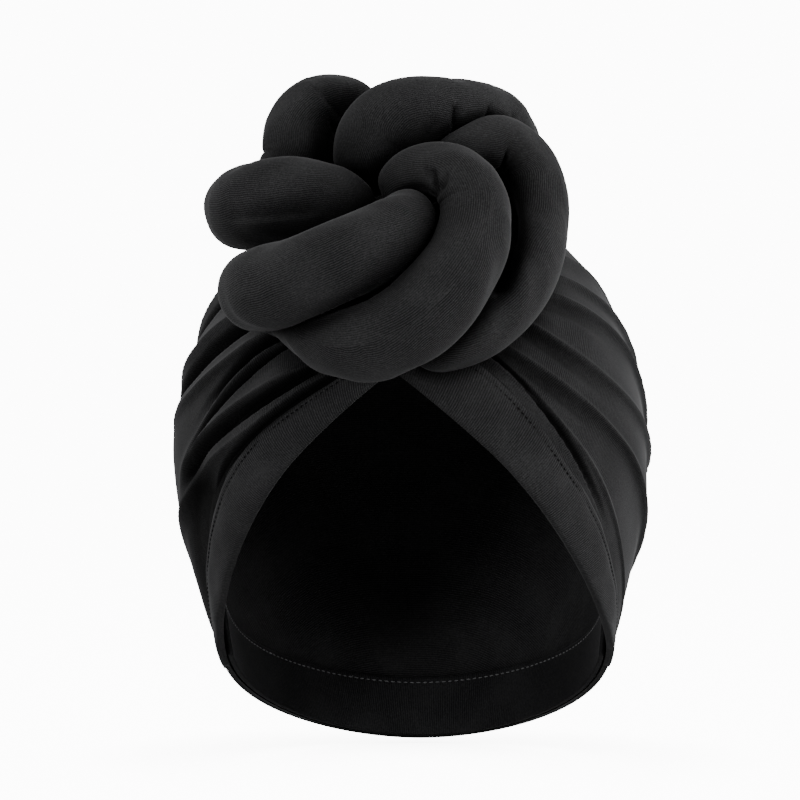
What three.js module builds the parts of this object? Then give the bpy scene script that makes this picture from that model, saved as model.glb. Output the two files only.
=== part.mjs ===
// A pre-tied turban headwrap in stretch jersey, shown as it is worn.
// Millimetres, +Z up, the front faces -Y and +X is to the right in the front view.
import * as THREE from 'three';

// Main sizes of the cap
const CAP_HALF_WIDTH = 85;
const CAP_FRONT = 97;
const CAP_BACK = 100;
const CAP_TOP = 100;
const NAPE_DROP = 114;
const CORNER_DROP = 73;
const WALL = 2;
const GAP = 0.35;

// How the cap draws in towards its hem, each a share of the size at the head's middle
const HEM_SIDE_NARROWING = 0.28;
const HEM_BACK_NARROWING = 0.24;
const HEM_FRONT_NARROWING = 0.24;
const LOWER_STRETCH = 0.71 * CAP_TOP;
const HEM_ROUNDING = 1.9;
const SIDE_NARROWING_POWER = 1.5;
const HEM_SHIFT = 3.4;

// The front opening: its top, its lower corners and the bow of its two edges
const OPENING_TOP = 29;
const OPENING_TOP_ANGLE = -5;
const CORNER_ANGLE = 80;
const GATHER_TOP = 0.9 * CAP_TOP;
const GATHER_SPREAD = 2;
const HEM_SPREAD = 1.2;
const SIDE_SPREAD = 1.3;
const CROWN_LEAN_BACK = 0.2;
const LEFT_EDGE = { side: -1, turn: 107, forward: -0.71 };
const RIGHT_EDGE = { side: 1, turn: 115, forward: -0.68 };

// The folded bands along the opening and the band inside the nape
const BAND_SEAM_SHARE = 0.905;
const BAND_RISE = 1;
const BAND_START = 0.014;
const NAPE_BAND_HEIGHT = 22;
const NAPE_BAND_THICKNESS = 2;
const NAPE_BAND_GAP = 0.6;
const NAPE_BAND_END_ANGLE = 84;

// The stuffed tubes of the knot
const TUBE_DIAMETER = 27;
const KNOT_ACROSS = -9.5;
const KNOT_UP = 77;
const KNOT_FOOT_Y = -104;
const KNOT_FOOT_Z = 35;
const KNOT_LEAN_DEG = 32;
const KNOT_DISH_RADIUS = 80;
const KNOT_REACH = 62;
const KNOT_FLAT_FROM = 0.78;
const CAP_SLACK = 0.35;
const PLEAT_RISE = 3.7;
const SEAT_DEPTH = 0.36 * TUBE_DIAMETER;

const degrees = Math.PI / 180;

function mix(a, b, share) {
  return a + (b - a) * share;
}

function smooth(from, to, value) {
  const share = THREE.MathUtils.clamp((value - from) / (to - from), 0, 1);
  return share * share * (3 - 2 * share);
}

// The smooth cap: a direction from the head's middle gives a point of the outer face
function capPoint(direction) {
  const q = direction.clone().normalize();
  const across = Math.hypot(q.x, q.y) + 1e-12;
  const sine = q.x / across;
  const cosine = -q.y / across;
  const down = Math.max(-q.z, 0);
  const z = q.z >= 0 ? CAP_TOP * q.z : -(CAP_TOP * down + LOWER_STRETCH * down * down);
  const depth = Math.max(-z, 0) / NAPE_DROP;
  const level = q.z >= 0 ? across : 1;
  const wide = level - HEM_SIDE_NARROWING * depth ** SIDE_NARROWING_POWER;
  const narrowing = cosine > 0 ? HEM_FRONT_NARROWING : HEM_BACK_NARROWING;
  const deep = level - narrowing * depth ** 2;
  const reach = cosine > 0 ? CAP_FRONT : CAP_BACK;
  const x = CAP_HALF_WIDTH * wide * sine + HEM_SHIFT * depth * depth;
  return new THREE.Vector3(x, -reach * deep * cosine, z);
}

// The direction of the cap point at an angle round from the front and at a height
function directionAt(angleDeg, height) {
  const drop = Math.max(-height, 0);
  const root = Math.sqrt(CAP_TOP * CAP_TOP + 4 * LOWER_STRETCH * drop);
  const z = height >= 0 ? height / CAP_TOP : (CAP_TOP - root) / (2 * LOWER_STRETCH);
  const across = Math.sqrt(Math.max(1 - z * z, 0));
  const angle = angleDeg * degrees;
  return new THREE.Vector3(across * Math.sin(angle), -across * Math.cos(angle), z);
}

// The outward normal of the smooth cap, from four points close around a direction
const NORMAL_STEP = 0.004;

function capNormal(direction) {
  const q = direction.clone().normalize();
  const helper = Math.abs(q.z) < 0.8 ? new THREE.Vector3(0, 0, 1) : new THREE.Vector3(1, 0, 0);
  const u = new THREE.Vector3().crossVectors(q, helper).normalize();
  const v = new THREE.Vector3().crossVectors(q, u).normalize();
  const [alongU, alongV] = [u, v].map((side) => {
    const before = capPoint(q.clone().addScaledVector(side, -NORMAL_STEP));
    return capPoint(q.clone().addScaledVector(side, NORMAL_STEP)).sub(before);
  });
  const normal = alongU.cross(alongV).normalize();
  return normal.dot(q) < 0 ? normal.negate() : normal;
}

function offsetPoint(direction, offset) {
  return capPoint(direction).addScaledVector(capNormal(direction), offset);
}

// The height of the hem at an angle round from the front
function hemHeight(angleDeg) {
  const share = THREE.MathUtils.clamp((Math.abs(angleDeg) - CORNER_ANGLE) / (180 - CORNER_ANGLE), 0, 1);
  return -CORNER_DROP - (NAPE_DROP - CORNER_DROP) * (1 - (1 - share) ** HEM_ROUNDING);
}

// The lines of the cloth: each starts on the gathered middle of the front and sweeps to the hem.
// share 1 is the edge of the opening, share 0 goes over the crown to the nape.
function sweep(edge, share, t) {
  const startHeight = mix(GATHER_TOP, OPENING_TOP, share ** GATHER_SPREAD);
  const start = directionAt(OPENING_TOP_ANGLE * share ** 4, startHeight);
  const endAngle = edge.side * (180 - (180 - CORNER_ANGLE) * share ** HEM_SPREAD);
  const end = directionAt(endAngle, hemHeight(endAngle));
  const turn = edge.turn * share ** SIDE_SPREAD * degrees;
  const y = mix(CROWN_LEAN_BACK, edge.forward, share * share);
  const across = Math.sqrt(1 - y * y);
  const middle = new THREE.Vector3(edge.side * Math.sin(turn) * across, y, Math.cos(turn) * across);
  const result = start.multiplyScalar((1 - t) * (1 - t));
  result.addScaledVector(middle, 2 * t * (1 - t));
  result.addScaledVector(end, t * t);
  return result.normalize();
}

// 0 under the knot, where the folds are pressed flat, and 1 outside it
function clearOfKnot(point) {
  const away = Math.hypot(point.x - KNOT_ACROSS, point.z - KNOT_UP) / KNOT_REACH;
  return point.y < 0 ? smooth(KNOT_FLAT_FROM, 1, away) : 1;
}

// The folds, which the knot presses flat beneath itself. from is the share where a fold leaves
// the knot and to the share where it meets the side. rise is in walls and a groove is negative,
// half is half its width in shares, and end is where along the line it runs out.
const FOLDS = [
  { edge: LEFT_EDGE, from: 0.905, to: 0.885, rise: -1.4, half: 0.02, end: 0.74 },
  { edge: LEFT_EDGE, from: 0.865, to: 0.85, rise: 1.7, half: 0.028, end: 0.74 },
  { edge: LEFT_EDGE, from: 0.885, to: 0.79, rise: -1.7, half: 0.022, end: 0.62 },
  { edge: LEFT_EDGE, from: 0.83, to: 0.745, rise: 1.7, half: 0.028, end: 0.72 },
  { edge: LEFT_EDGE, from: 0.785, to: 0.79, rise: -1.4, half: 0.018, end: 0.5 },
  { edge: LEFT_EDGE, from: 0.745, to: 0.7, rise: 1.5, half: 0.026, end: 0.7 },
  { edge: LEFT_EDGE, from: 0.715, to: 0.64, rise: -1.7, half: 0.022, end: 0.68 },
  { edge: LEFT_EDGE, from: 0.66, to: 0.58, rise: 1.5, half: 0.035, end: 0.72 },
  { edge: LEFT_EDGE, from: 0.56, to: 0.5, rise: -1.1, half: 0.03, end: 0.7 },
  { edge: RIGHT_EDGE, from: 0.905, to: 0.915, rise: -1.3, half: 0.018, end: 0.74 },
  { edge: RIGHT_EDGE, from: 0.87, to: 0.88, rise: 1.7, half: 0.022, end: 0.74 },
  { edge: RIGHT_EDGE, from: 0.845, to: 0.845, rise: -1.4, half: 0.02, end: 0.7 },
  { edge: RIGHT_EDGE, from: 0.815, to: 0.79, rise: 1.6, half: 0.024, end: 0.76 },
  { edge: RIGHT_EDGE, from: 0.785, to: 0.75, rise: -1.2, half: 0.022, end: 0.68 },
  { edge: RIGHT_EDGE, from: 0.75, to: 0.7, rise: 1.6, half: 0.026, end: 0.72 },
  { edge: RIGHT_EDGE, from: 0.715, to: 0.655, rise: -1.3, half: 0.024, end: 0.7 },
  { edge: RIGHT_EDGE, from: 0.68, to: 0.61, rise: 1.4, half: 0.03, end: 0.72 },
  { edge: RIGHT_EDGE, from: 0.6, to: 0.54, rise: -1, half: 0.03, end: 0.7 },
  { edge: RIGHT_EDGE, from: 0.7, to: 0.72, rise: 0.9, half: 0.09, end: 0.84 },
];
const FOLD_START = 0.06;
const FOLD_FADE = 0.1;
const FOLD_BEND = [0.15, 0.6];

function foldRise(edge, share, t, point) {
  const free = clearOfKnot(point);
  let rise = 0;
  for (const fold of FOLDS) {
    if (fold.edge !== edge) continue;
    const centre = mix(fold.from, fold.to, smooth(FOLD_BEND[0], FOLD_BEND[1], t));
    const away = (share - centre) / fold.half;
    const running = smooth(0, FOLD_START, t) * (1 - smooth(fold.end - FOLD_FADE, fold.end + FOLD_FADE, t));
    rise += fold.rise * WALL * free * running * Math.exp(-away * away);
  }
  return rise;
}

// A triangle mesh collected point by point
function newMesh() {
  return { points: [], faces: [] };
}

function addPoint(mesh, point) {
  mesh.points.push(point.x, point.y, point.z);
  return mesh.points.length / 3 - 1;
}

function addQuad(mesh, a, b, c, d) {
  mesh.faces.push(a, b, c, a, c, d);
}

// Rings of points joined into a closed tube with flat fans at both ends
function closeRings(rings) {
  const mesh = newMesh();
  const indices = rings.map((ring) => ring.map((point) => addPoint(mesh, point)));
  const sides = indices[0].length;
  for (let i = 0; i + 1 < indices.length; i += 1) {
    for (let k = 0; k < sides; k += 1) {
      const next = (k + 1) % sides;
      addQuad(mesh, indices[i][k], indices[i][next], indices[i + 1][next], indices[i + 1][k]);
    }
  }
  for (const last of [false, true]) {
    const ring = last ? rings[rings.length - 1] : rings[0];
    const index = last ? indices[indices.length - 1] : indices[0];
    const middle = new THREE.Vector3();
    ring.forEach((point) => middle.addScaledVector(point, 1 / sides));
    const centre = addPoint(mesh, middle);
    for (let k = 0; k < sides; k += 1) {
      const next = (k + 1) % sides;
      if (last) mesh.faces.push(centre, index[k], index[next]);
      else mesh.faces.push(centre, index[next], index[k]);
    }
  }
  return mesh;
}

// Faces turned outward when the signed volume comes out negative
function finishMesh(name, mesh, material) {
  const p = mesh.points;
  const f = mesh.faces;
  let volume = 0;
  const a = new THREE.Vector3();
  const b = new THREE.Vector3();
  const c = new THREE.Vector3();
  for (let i = 0; i < f.length; i += 3) {
    a.fromArray(p, f[i] * 3);
    b.fromArray(p, f[i + 1] * 3);
    c.fromArray(p, f[i + 2] * 3);
    volume += a.dot(b.cross(c));
  }
  if (volume < 0) {
    for (let i = 0; i < f.length; i += 3) [f[i + 1], f[i + 2]] = [f[i + 2], f[i + 1]];
  }
  const geometry = new THREE.BufferGeometry();
  geometry.setAttribute('position', new THREE.Float32BufferAttribute(p, 3));
  geometry.setIndex(f);
  geometry.translate(0, 0, -(CAP_TOP - WALL));
  geometry.computeVertexNormals();
  const result = new THREE.Mesh(geometry, material);
  result.name = name;
  return result;
}

// The crown: one gathered sheet with its outer and inner face and the rim between them
const CROWN_ROWS = 19;
const CROWN_COLUMNS = 34;
const COLUMN_CROWDING = 1.35;

// Columns stand closer towards the opening, where the folds are
function crownShare(column) {
  return BAND_SEAM_SHARE * (1 - (1 - column / CROWN_COLUMNS) ** COLUMN_CROWDING);
}

function crownMesh() {
  const mesh = newMesh();
  const layers = [0, -WALL];
  const grids = layers.map((offset) => {
    const grid = new Map();
    for (let column = -CROWN_COLUMNS; column <= CROWN_COLUMNS; column += 1) {
      const edge = column < 0 ? LEFT_EDGE : RIGHT_EDGE;
      const share = crownShare(Math.abs(column));
      const line = [];
      for (let row = 0; row <= CROWN_ROWS; row += 1) {
        if (row === 0 && column > 0) {
          line.push(grid.get(-column)[0]);
          continue;
        }
        const t = row / CROWN_ROWS;
        const q = sweep(edge, share, t);
        line.push(addPoint(mesh, offsetPoint(q, offset + foldRise(edge, share, t, capPoint(q)))));
      }
      grid.set(column, line);
    }
    return grid;
  });
  const [outer, inner] = grids;
  for (let column = -CROWN_COLUMNS; column < CROWN_COLUMNS; column += 1) {
    for (let row = 0; row < CROWN_ROWS; row += 1) {
      const o = [outer.get(column)[row], outer.get(column + 1)[row]];
      o.push(outer.get(column + 1)[row + 1], outer.get(column)[row + 1]);
      const i = [inner.get(column)[row], inner.get(column + 1)[row]];
      i.push(inner.get(column + 1)[row + 1], inner.get(column)[row + 1]);
      addQuad(mesh, o[0], o[1], o[2], o[3]);
      addQuad(mesh, i[3], i[2], i[1], i[0]);
    }
  }
  const loop = [];
  for (let row = 0; row < CROWN_ROWS; row += 1) loop.push([CROWN_COLUMNS, row]);
  for (let column = CROWN_COLUMNS; column > -CROWN_COLUMNS; column -= 1) loop.push([column, CROWN_ROWS]);
  for (let row = CROWN_ROWS; row > 0; row -= 1) loop.push([-CROWN_COLUMNS, row]);
  loop.forEach(([column, row], index) => {
    const [nextColumn, nextRow] = loop[(index + 1) % loop.length];
    const a = outer.get(column)[row];
    const b = outer.get(nextColumn)[nextRow];
    addQuad(mesh, b, a, inner.get(column)[row], inner.get(nextColumn)[nextRow]);
  });
  return mesh;
}

// A front band: the hem folded double, with a soft rounded section
const BAND_ROWS = 30;
const ROW_CROWDING = 1.15;
const SEAM_STEP = 0.01;
const BAND_SECTION = [
  [0, -0.5], [0.06, 0.3], [0.3, 0.9], [0.55, 1], [0.8, 0.9], [0.96, 0.3],
  [1, -0.5], [0.94, -1], [0.65, -1], [0.35, -1], [0.06, -1],
];

function bandMesh(edge) {
  const rings = [];
  for (let row = 0; row <= BAND_ROWS; row += 1) {
    const t = mix(BAND_START, 1, (row / BAND_ROWS) ** ROW_CROWDING);
    const seam = capPoint(sweep(edge, BAND_SEAM_SHARE, t));
    const beside = capPoint(sweep(edge, BAND_SEAM_SHARE + SEAM_STEP, t));
    const inset = (SEAM_STEP * GAP) / seam.distanceTo(beside);
    const ring = BAND_SECTION.map(([across, level]) => {
      const share = mix(BAND_SEAM_SHARE + inset, 1, across);
      const offset = level > 0 ? BAND_RISE * level : WALL * level;
      return offsetPoint(sweep(edge, share, t), offset);
    });
    rings.push(ring);
  }
  return closeRings(rings);
}

// The nape band: a strip inside the back of the hem
const NAPE_COLUMNS = 44;
const NAPE_SECTION = [
  [0, 0.15], [0.02, 0], [0.5, 0], [0.96, 0], [1, 0.3], [1, 0.7], [0.96, 1], [0.5, 1], [0.02, 1], [0, 0.85],
];

function napeBandMesh() {
  const rings = [];
  for (let column = 0; column <= NAPE_COLUMNS; column += 1) {
    const around = mix(NAPE_BAND_END_ANGLE, 360 - NAPE_BAND_END_ANGLE, column / NAPE_COLUMNS);
    const angle = around > 180 ? around - 360 : around;
    const ring = NAPE_SECTION.map(([up, inward]) => {
      const q = directionAt(angle, hemHeight(angle) + up * NAPE_BAND_HEIGHT);
      return offsetPoint(q, -(WALL + NAPE_BAND_GAP + inward * NAPE_BAND_THICKNESS));
    });
    rings.push(ring);
  }
  return closeRings(rings);
}

// The knot: each strand is a stuffed tube, its middle line given in tube diameters
// as across and up from the knot's middle and lift off the leaning plane of the knot,
// then its girth as a share of the tube diameter
const STRANDS = {
  knot_strand_front: [
    [0.1, 0.12, -0.3, 0.8],
    [0.34, 0.33, 0, 0.9],
    [0.55, 0.5, 0.32, 0.94],
    [0.78, 0.59, 0.62, 0.95],
    [0.97, 0.52, 0.8, 0.97],
    [1.11, 0.24, 0.85, 0.97],
    [1.1, -0.08, 0.85, 1],
    [0.96, -0.46, 0.83, 1.04],
    [0.68, -0.87, 0.75, 1.08],
    [0.31, -1.2, 0.58, 1.1],
    [-0.14, -1.39, 0.4, 1.1],
    [-0.55, -1.36, 0.2, 1.06],
    [-0.86, -1.18, 0, 1],
    [-1.12, -0.96, -0.12, 0.98],
    [-1.4, -0.82, -0.02, 0.98],
    [-1.6, -0.78, 0.33, 1.04],
    [-1.5, -0.76, 0.72, 1.08],
    [-1.15, -0.67, 0.87, 1.1],
    [-0.75, -0.53, 0.9, 1.1],
    [-0.38, -0.37, 0.88, 1.08],
    [0, -0.19, 0.8, 1.05],
    [0.27, 0.01, 0.6, 1],
    [0.52, 0.26, 0.22, 0.95],
    [0.8, 0.56, -0.05, 0.95],
    [1.07, 0.86, -0.05, 0.98],
    [1.42, 1.03, 0.04, 1.02],
    [1.73, 0.85, 0.1, 1.04],
    [1.87, 0.5, 0.1, 1.04],
    [1.87, 0.1, 0.1, 1.03],
    [1.79, -0.32, 0.1, 1.02],
    [1.59, -0.73, 0.08, 1.01],
    [1.3, -1.07, 0.03, 1],
    [0.96, -1.31, -0.05, 1],
    [0.6, -1.38, -0.1, 1],
    [0.25, -1.3, -0.15, 0.8],
  ],
  knot_strand_left: [
    [-0.1, -0.2, -0.15, 0.8],
    [-0.4, 0.1, 0.05, 0.95],
    [-0.7, 0.31, 0.22, 1.08],
    [-1.1, 0.4, 0.36, 1.15],
    [-1.5, 0.38, 0.36, 1.16],
    [-1.8, 0.34, 0.12, 1.12],
    [-1.84, 0.36, -0.18, 1.04],
    [-1.6, 0.44, -0.46, 1],
    [-1.35, 0.66, -0.5, 0.97],
    [-1.16, 0.98, -0.42, 1.08],
    [-1.14, 1.32, -0.32, 1.03],
    [-1.04, 1.61, -0.26, 0.9],
    [-0.76, 1.78, -0.34, 0.84],
    [-0.46, 1.7, -0.55, 0.84],
    [-0.2, 1.42, -0.8, 0.84],
    [0.1, 1.08, -0.85, 0.84],
    [0.4, 0.82, -0.8, 0.8],
  ],
  knot_strand_top: [
    [0.02, 0.42, -0.45, 0.8],
    [-0.12, 0.72, -0.3, 0.95],
    [-0.17, 0.97, -0.08, 1.02],
    [-0.11, 1.24, 0.06, 1.08],
    [0.08, 1.43, 0.13, 1.12],
    [0.36, 1.52, 0.12, 1.12],
    [0.68, 1.53, 0.04, 1.12],
    [1.03, 1.52, -0.1, 1.12],
    [1.39, 1.45, -0.3, 1.1],
    [1.58, 1.22, -0.5, 1],
    [1.42, 0.9, -0.6, 0.95],
    [1.16, 0.62, -0.6, 0.9],
    [0.9, 0.3, -0.5, 0.8],
  ],
};
const RING_SIDES = 16;
const RING_STEP = 0.24 * TUBE_DIAMETER;
const LEAST_GIRTH = 0.1 * TUBE_DIAMETER;
const LEAST_END = 0.2;
const TUBE_GAP = 2 * GAP;
const LEAST_SPACING = 0.5 * TUBE_DIAMETER;
const OWN_BEND_LENGTH = 1.3 * TUBE_DIAMETER;
const SETTLE_PASSES = 24;
const SWELL_STEPS = 12;
const SAME_BEND = 0.5 * TUBE_DIAMETER;
const NEXT_BEND = 1.6 * TUBE_DIAMETER;

function strandPoint([across, up, lift]) {
  const x = KNOT_ACROSS + across * TUBE_DIAMETER;
  const z = KNOT_UP + up * TUBE_DIAMETER;
  const lean = KNOT_LEAN_DEG * degrees;
  const dish = (across * TUBE_DIAMETER) ** 2 / (2 * KNOT_DISH_RADIUS);
  const plane = KNOT_FOOT_Y + (z - KNOT_FOOT_Z) * Math.tan(lean) + dish;
  const y = plane - (lift * TUBE_DIAMETER) / Math.cos(lean);
  return new THREE.Vector3(x, y, z);
}

// Clearance to the cap under the knot, positive outside it
function capClearance(p) {
  const rise = CAP_SLACK + GAP + PLEAT_RISE * clearOfKnot(p);
  const level = Math.hypot(p.x / (CAP_HALF_WIDTH + rise), p.y / (CAP_FRONT + rise), p.z / (CAP_TOP + rise));
  return (level - 1) * (p.length() / level);
}

// A tube's middle line is lifted where it would sink too deep into the cap
function seatOnCap(p) {
  const short = SEAT_DEPTH - capClearance(p);
  if (short <= 0) return p;
  const outward = new THREE.Vector3(p.x / CAP_HALF_WIDTH ** 2, p.y / CAP_FRONT ** 2, p.z / CAP_TOP ** 2);
  return p.addScaledVector(outward.normalize(), short);
}

// Samples along a strand with their girth and their distance along it
function sampleStrand(owner, rows) {
  const curve = new THREE.CatmullRomCurve3(rows.map(strandPoint), false, 'centripetal');
  const length = curve.getLength();
  const count = 2 * Math.round(length / RING_STEP);
  const samples = [];
  for (let i = 0; i <= count; i += 1) {
    const u = i / count;
    const home = curve.getPointAt(u);
    const place = curve.getUtoTmapping(u) * (rows.length - 1);
    const row = Math.min(Math.floor(place), rows.length - 2);
    const radius = (mix(rows[row][3], rows[row + 1][3], place - row) * TUBE_DIAMETER) / 2;
    const along = u * length;
    const toEnd = Math.min(along, length - along) / (TUBE_DIAMETER / 2);
    const round = toEnd < 1 ? Math.sqrt(1 - (1 - toEnd) ** 2) : 1;
    samples.push({ owner, home, position: home.clone(), along, radius, round });
  }
  return samples;
}

// Middle lines that run too close are eased apart, then lifted off the cap
function settle(strands) {
  const all = strands.flat();
  const apart = new THREE.Vector3();
  for (let pass = 0; pass < SETTLE_PASSES; pass += 1) {
    for (let i = 0; i < all.length; i += 1) {
      for (let j = i + 1; j < all.length; j += 1) {
        const [a, b] = [all[i], all[j]];
        if (a.owner === b.owner && Math.abs(a.along - b.along) < OWN_BEND_LENGTH) continue;
        apart.subVectors(a.position, b.position);
        const short = LEAST_SPACING - apart.length();
        if (short <= 0) continue;
        apart.normalize().multiplyScalar(short / 2);
        a.position.add(apart);
        b.position.sub(apart);
      }
    }
    for (const samples of strands) {
      const moved = samples.map((sample) => sample.position.clone().sub(sample.home));
      samples.forEach((sample, i) => {
        const before = moved[Math.max(i - 1, 0)];
        const after = moved[Math.min(i + 1, samples.length - 1)];
        const around = before.clone().add(after).multiplyScalar(0.5);
        seatOnCap(sample.position.copy(moved[i]).lerp(around, 0.5).add(sample.home));
      });
    }
  }
}

// How far a tube may swell in a direction before it presses on its neighbours or the cap
function swell(sample, direction, all) {
  const test = new THREE.Vector3();
  const near = all.filter(({ position, radius }) => {
    return position.distanceTo(sample.position) < sample.radius + radius + 2 * TUBE_GAP;
  });
  let low = 0;
  let high = sample.radius;
  for (let step = 0; step < SWELL_STEPS; step += 1) {
    const middle = (low + high) / 2;
    test.copy(sample.position).addScaledVector(direction, middle);
    let fits = capClearance(test) > 0;
    for (const other of near) {
      if (!fits) break;
      if (other === sample) continue;
      const away = other.owner === sample.owner ? Math.abs(other.along - sample.along) : 2 * TUBE_DIAMETER;
      const stranger = smooth(SAME_BEND, NEXT_BEND, away);
      const margin = (TUBE_GAP + other.radius - sample.radius) * stranger;
      fits = test.distanceTo(other.position) - middle > margin;
    }
    if (fits) low = middle;
    else high = middle;
  }
  return Math.max(low, LEAST_GIRTH);
}

function strandMesh(samples, all) {
  const rings = [];
  const side = new THREE.Vector3(0, 0, 1);
  for (let i = 0; i < samples.length; i += 2) {
    const sample = samples[i];
    const before = samples[Math.max(i - 1, 0)].position;
    const tangent = samples[Math.min(i + 1, samples.length - 1)].position.clone().sub(before).normalize();
    side.addScaledVector(tangent, -side.dot(tangent)).normalize();
    const other = new THREE.Vector3().crossVectors(tangent, side);
    const ring = [];
    for (let k = 0; k < RING_SIDES; k += 1) {
      const angle = (2 * Math.PI * k) / RING_SIDES;
      const direction = side.clone().multiplyScalar(Math.cos(angle));
      direction.addScaledVector(other, Math.sin(angle));
      const reach = swell(sample, direction, all) * Math.max(sample.round, LEAST_END);
      ring.push(sample.position.clone().addScaledVector(direction, reach));
    }
    rings.push(ring);
  }
  return closeRings(rings);
}

function cloth(name, colour, roughness) {
  const material = new THREE.MeshStandardMaterial({ color: colour, roughness, metalness: 0 });
  material.name = name;
  return material;
}

const group = new THREE.Group();
group.name = 'turban_headwrap';
const crownCloth = cloth('crown_jersey', 0x1a1a1d, 0.9);
const bandCloth = cloth('band_jersey', 0x1c1c1f, 0.9);
const knotCloth = cloth('knot_jersey', 0x1e1e21, 0.9);
group.add(finishMesh('crown_shell', crownMesh(), crownCloth));
group.add(finishMesh('front_band_left', bandMesh(LEFT_EDGE), bandCloth));
group.add(finishMesh('front_band_right', bandMesh(RIGHT_EDGE), bandCloth.clone()));
group.add(finishMesh('nape_band', napeBandMesh(), bandCloth.clone()));
const strands = Object.entries(STRANDS).map(([name, rows]) => sampleStrand(name, rows));
settle(strands);
for (const samples of strands) {
  group.add(finishMesh(samples[0].owner, strandMesh(samples, strands.flat()), knotCloth.clone()));
}

export default group;
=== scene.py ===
# %% [markdown]
# # A jersey turban with a rosette knot
# The real thing is a pre-tied headwrap: a cap of black stretch jersey, gathered at the front
# under a knot of stuffed jersey tubes, with an arched opening for the face. This lesson builds
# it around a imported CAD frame. The frame fixes where everything is, so each piece below is
# made in the frame's own place and size, and only its surface becomes richer.

# %% Load the frame
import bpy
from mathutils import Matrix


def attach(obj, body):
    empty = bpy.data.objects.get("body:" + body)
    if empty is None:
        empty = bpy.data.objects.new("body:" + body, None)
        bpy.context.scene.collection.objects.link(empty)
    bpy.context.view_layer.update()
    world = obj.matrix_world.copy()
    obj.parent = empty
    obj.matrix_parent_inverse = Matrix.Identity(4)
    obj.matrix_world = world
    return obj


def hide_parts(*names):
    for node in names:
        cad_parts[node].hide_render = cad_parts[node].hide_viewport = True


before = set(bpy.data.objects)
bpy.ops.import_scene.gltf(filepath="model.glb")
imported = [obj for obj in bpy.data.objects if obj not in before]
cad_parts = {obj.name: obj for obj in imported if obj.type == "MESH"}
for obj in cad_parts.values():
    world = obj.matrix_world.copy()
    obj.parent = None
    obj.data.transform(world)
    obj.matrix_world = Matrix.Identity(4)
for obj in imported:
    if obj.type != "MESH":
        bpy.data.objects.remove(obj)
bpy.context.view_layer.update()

import math
from collections import namedtuple

import bpy
import numpy as np

print("frame nodes:", sorted(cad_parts))

# %% [markdown]
# ## Sizes
# All shapes are worked out in millimetres around the middle of the head, with the front
# towards -Y, and moved into the frame's metres when a mesh is made. These are the same named
# sizes that the CAD part is driven by, because every cloth line starts and ends on that cap.

# %% Sizes of the cap, its opening and its bands
CAP_HALF_WIDTH, CAP_FRONT, CAP_BACK, CAP_TOP = 85.0, 97.0, 100.0, 100.0
NAPE_DROP, CORNER_DROP = 114.0, 73.0
WALL = 2.0
GAP = 0.35
SIDE_NARROWING, BACK_NARROWING, FRONT_NARROWING = 0.28, 0.24, 0.24
SIDE_NARROWING_POWER = 1.5
LOWER_STRETCH = 0.71 * CAP_TOP
HEM_ROUNDING = 1.9
HEM_SHIFT = 3.4
OPENING_TOP, OPENING_TOP_ANGLE, CORNER_ANGLE = 29.0, -5.0, 80.0
GATHER_TOP = 0.9 * CAP_TOP
GATHER_SPREAD, HEM_SPREAD, SIDE_SPREAD = 2.0, 1.2, 1.3
CROWN_LEAN_BACK = 0.2
MM = 0.001

# side, the turn and forward pull of the lines, and the band seam's share near the knot, half
# way and from there on
Edge = namedtuple("Edge", "side turn forward seam_high seam_low")
LEFT = Edge(-1, 107, -0.71, 0.925, 0.905)
RIGHT = Edge(1, 115, -0.68, 0.87, 0.914)


# %% [markdown]
# ## Small helpers
# Blender works on single vertices, but a cloth has a hundred thousand of them, so the shape
# functions here take whole NumPy arrays of points at once. That is what keeps the script fast.
# Most shapes fade in and out with `smooth`, a step with soft ends, and `between`, two of them.

# %% Helpers for numbers and directions
TINY = 1e-12


def mix(a, b, share):
    return a + (b - a) * share


def smooth(low, high, value):
    share = np.clip((value - low) / (high - low), 0, 1)
    return share * share * (3 - 2 * share)


def between(value, low, full_from, full_to, high):
    return smooth(low, full_from, value) * (1 - smooth(full_to, high, value))


def unit(vectors):
    return vectors / np.maximum(np.linalg.norm(vectors, axis=-1, keepdims=True), TINY)


# %% [markdown]
# ## The head's form
# Stretched jersey takes the form of the head it is worn on. The cap is a rounded form that is
# round above the brow and draws in towards the nape. A direction from the head's middle gives
# one point on it, so a line on the cloth can be drawn as a path of directions.

# %% The cap as a function of direction
NEARLY_UPRIGHT = 0.8


def cap_point(directions):
    q = unit(directions)
    across = np.hypot(q[..., 0], q[..., 1]) + TINY
    sine, cosine = q[..., 0] / across, -q[..., 1] / across
    above = q[..., 2] >= 0
    down = np.maximum(-q[..., 2], 0)
    z = np.where(above, CAP_TOP * q[..., 2], -(CAP_TOP * down + LOWER_STRETCH * down**2))
    depth = np.maximum(-z, 0) / NAPE_DROP
    level = np.where(above, across, 1)
    wide = level - SIDE_NARROWING * depth**SIDE_NARROWING_POWER
    faces_front = cosine > 0
    deep = level - np.where(faces_front, FRONT_NARROWING, BACK_NARROWING) * depth**2
    reach = np.where(faces_front, CAP_FRONT, CAP_BACK)
    x = CAP_HALF_WIDTH * wide * sine + HEM_SHIFT * depth**2
    return np.stack([x, -reach * deep * cosine, z], axis=-1)


def cap_normal(directions, step=0.004):
    q = unit(directions)
    helper = np.where(np.abs(q[..., 2:]) < NEARLY_UPRIGHT, [0.0, 0.0, 1.0], [1.0, 0.0, 0.0])
    u = unit(np.cross(q, helper))
    v = unit(np.cross(q, u))
    along_u = cap_point(q + step * u) - cap_point(q - step * u)
    along_v = cap_point(q + step * v) - cap_point(q - step * v)
    normal = unit(np.cross(along_u, along_v))
    return np.where((normal * q).sum(-1, keepdims=True) < 0, -normal, normal)


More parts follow.
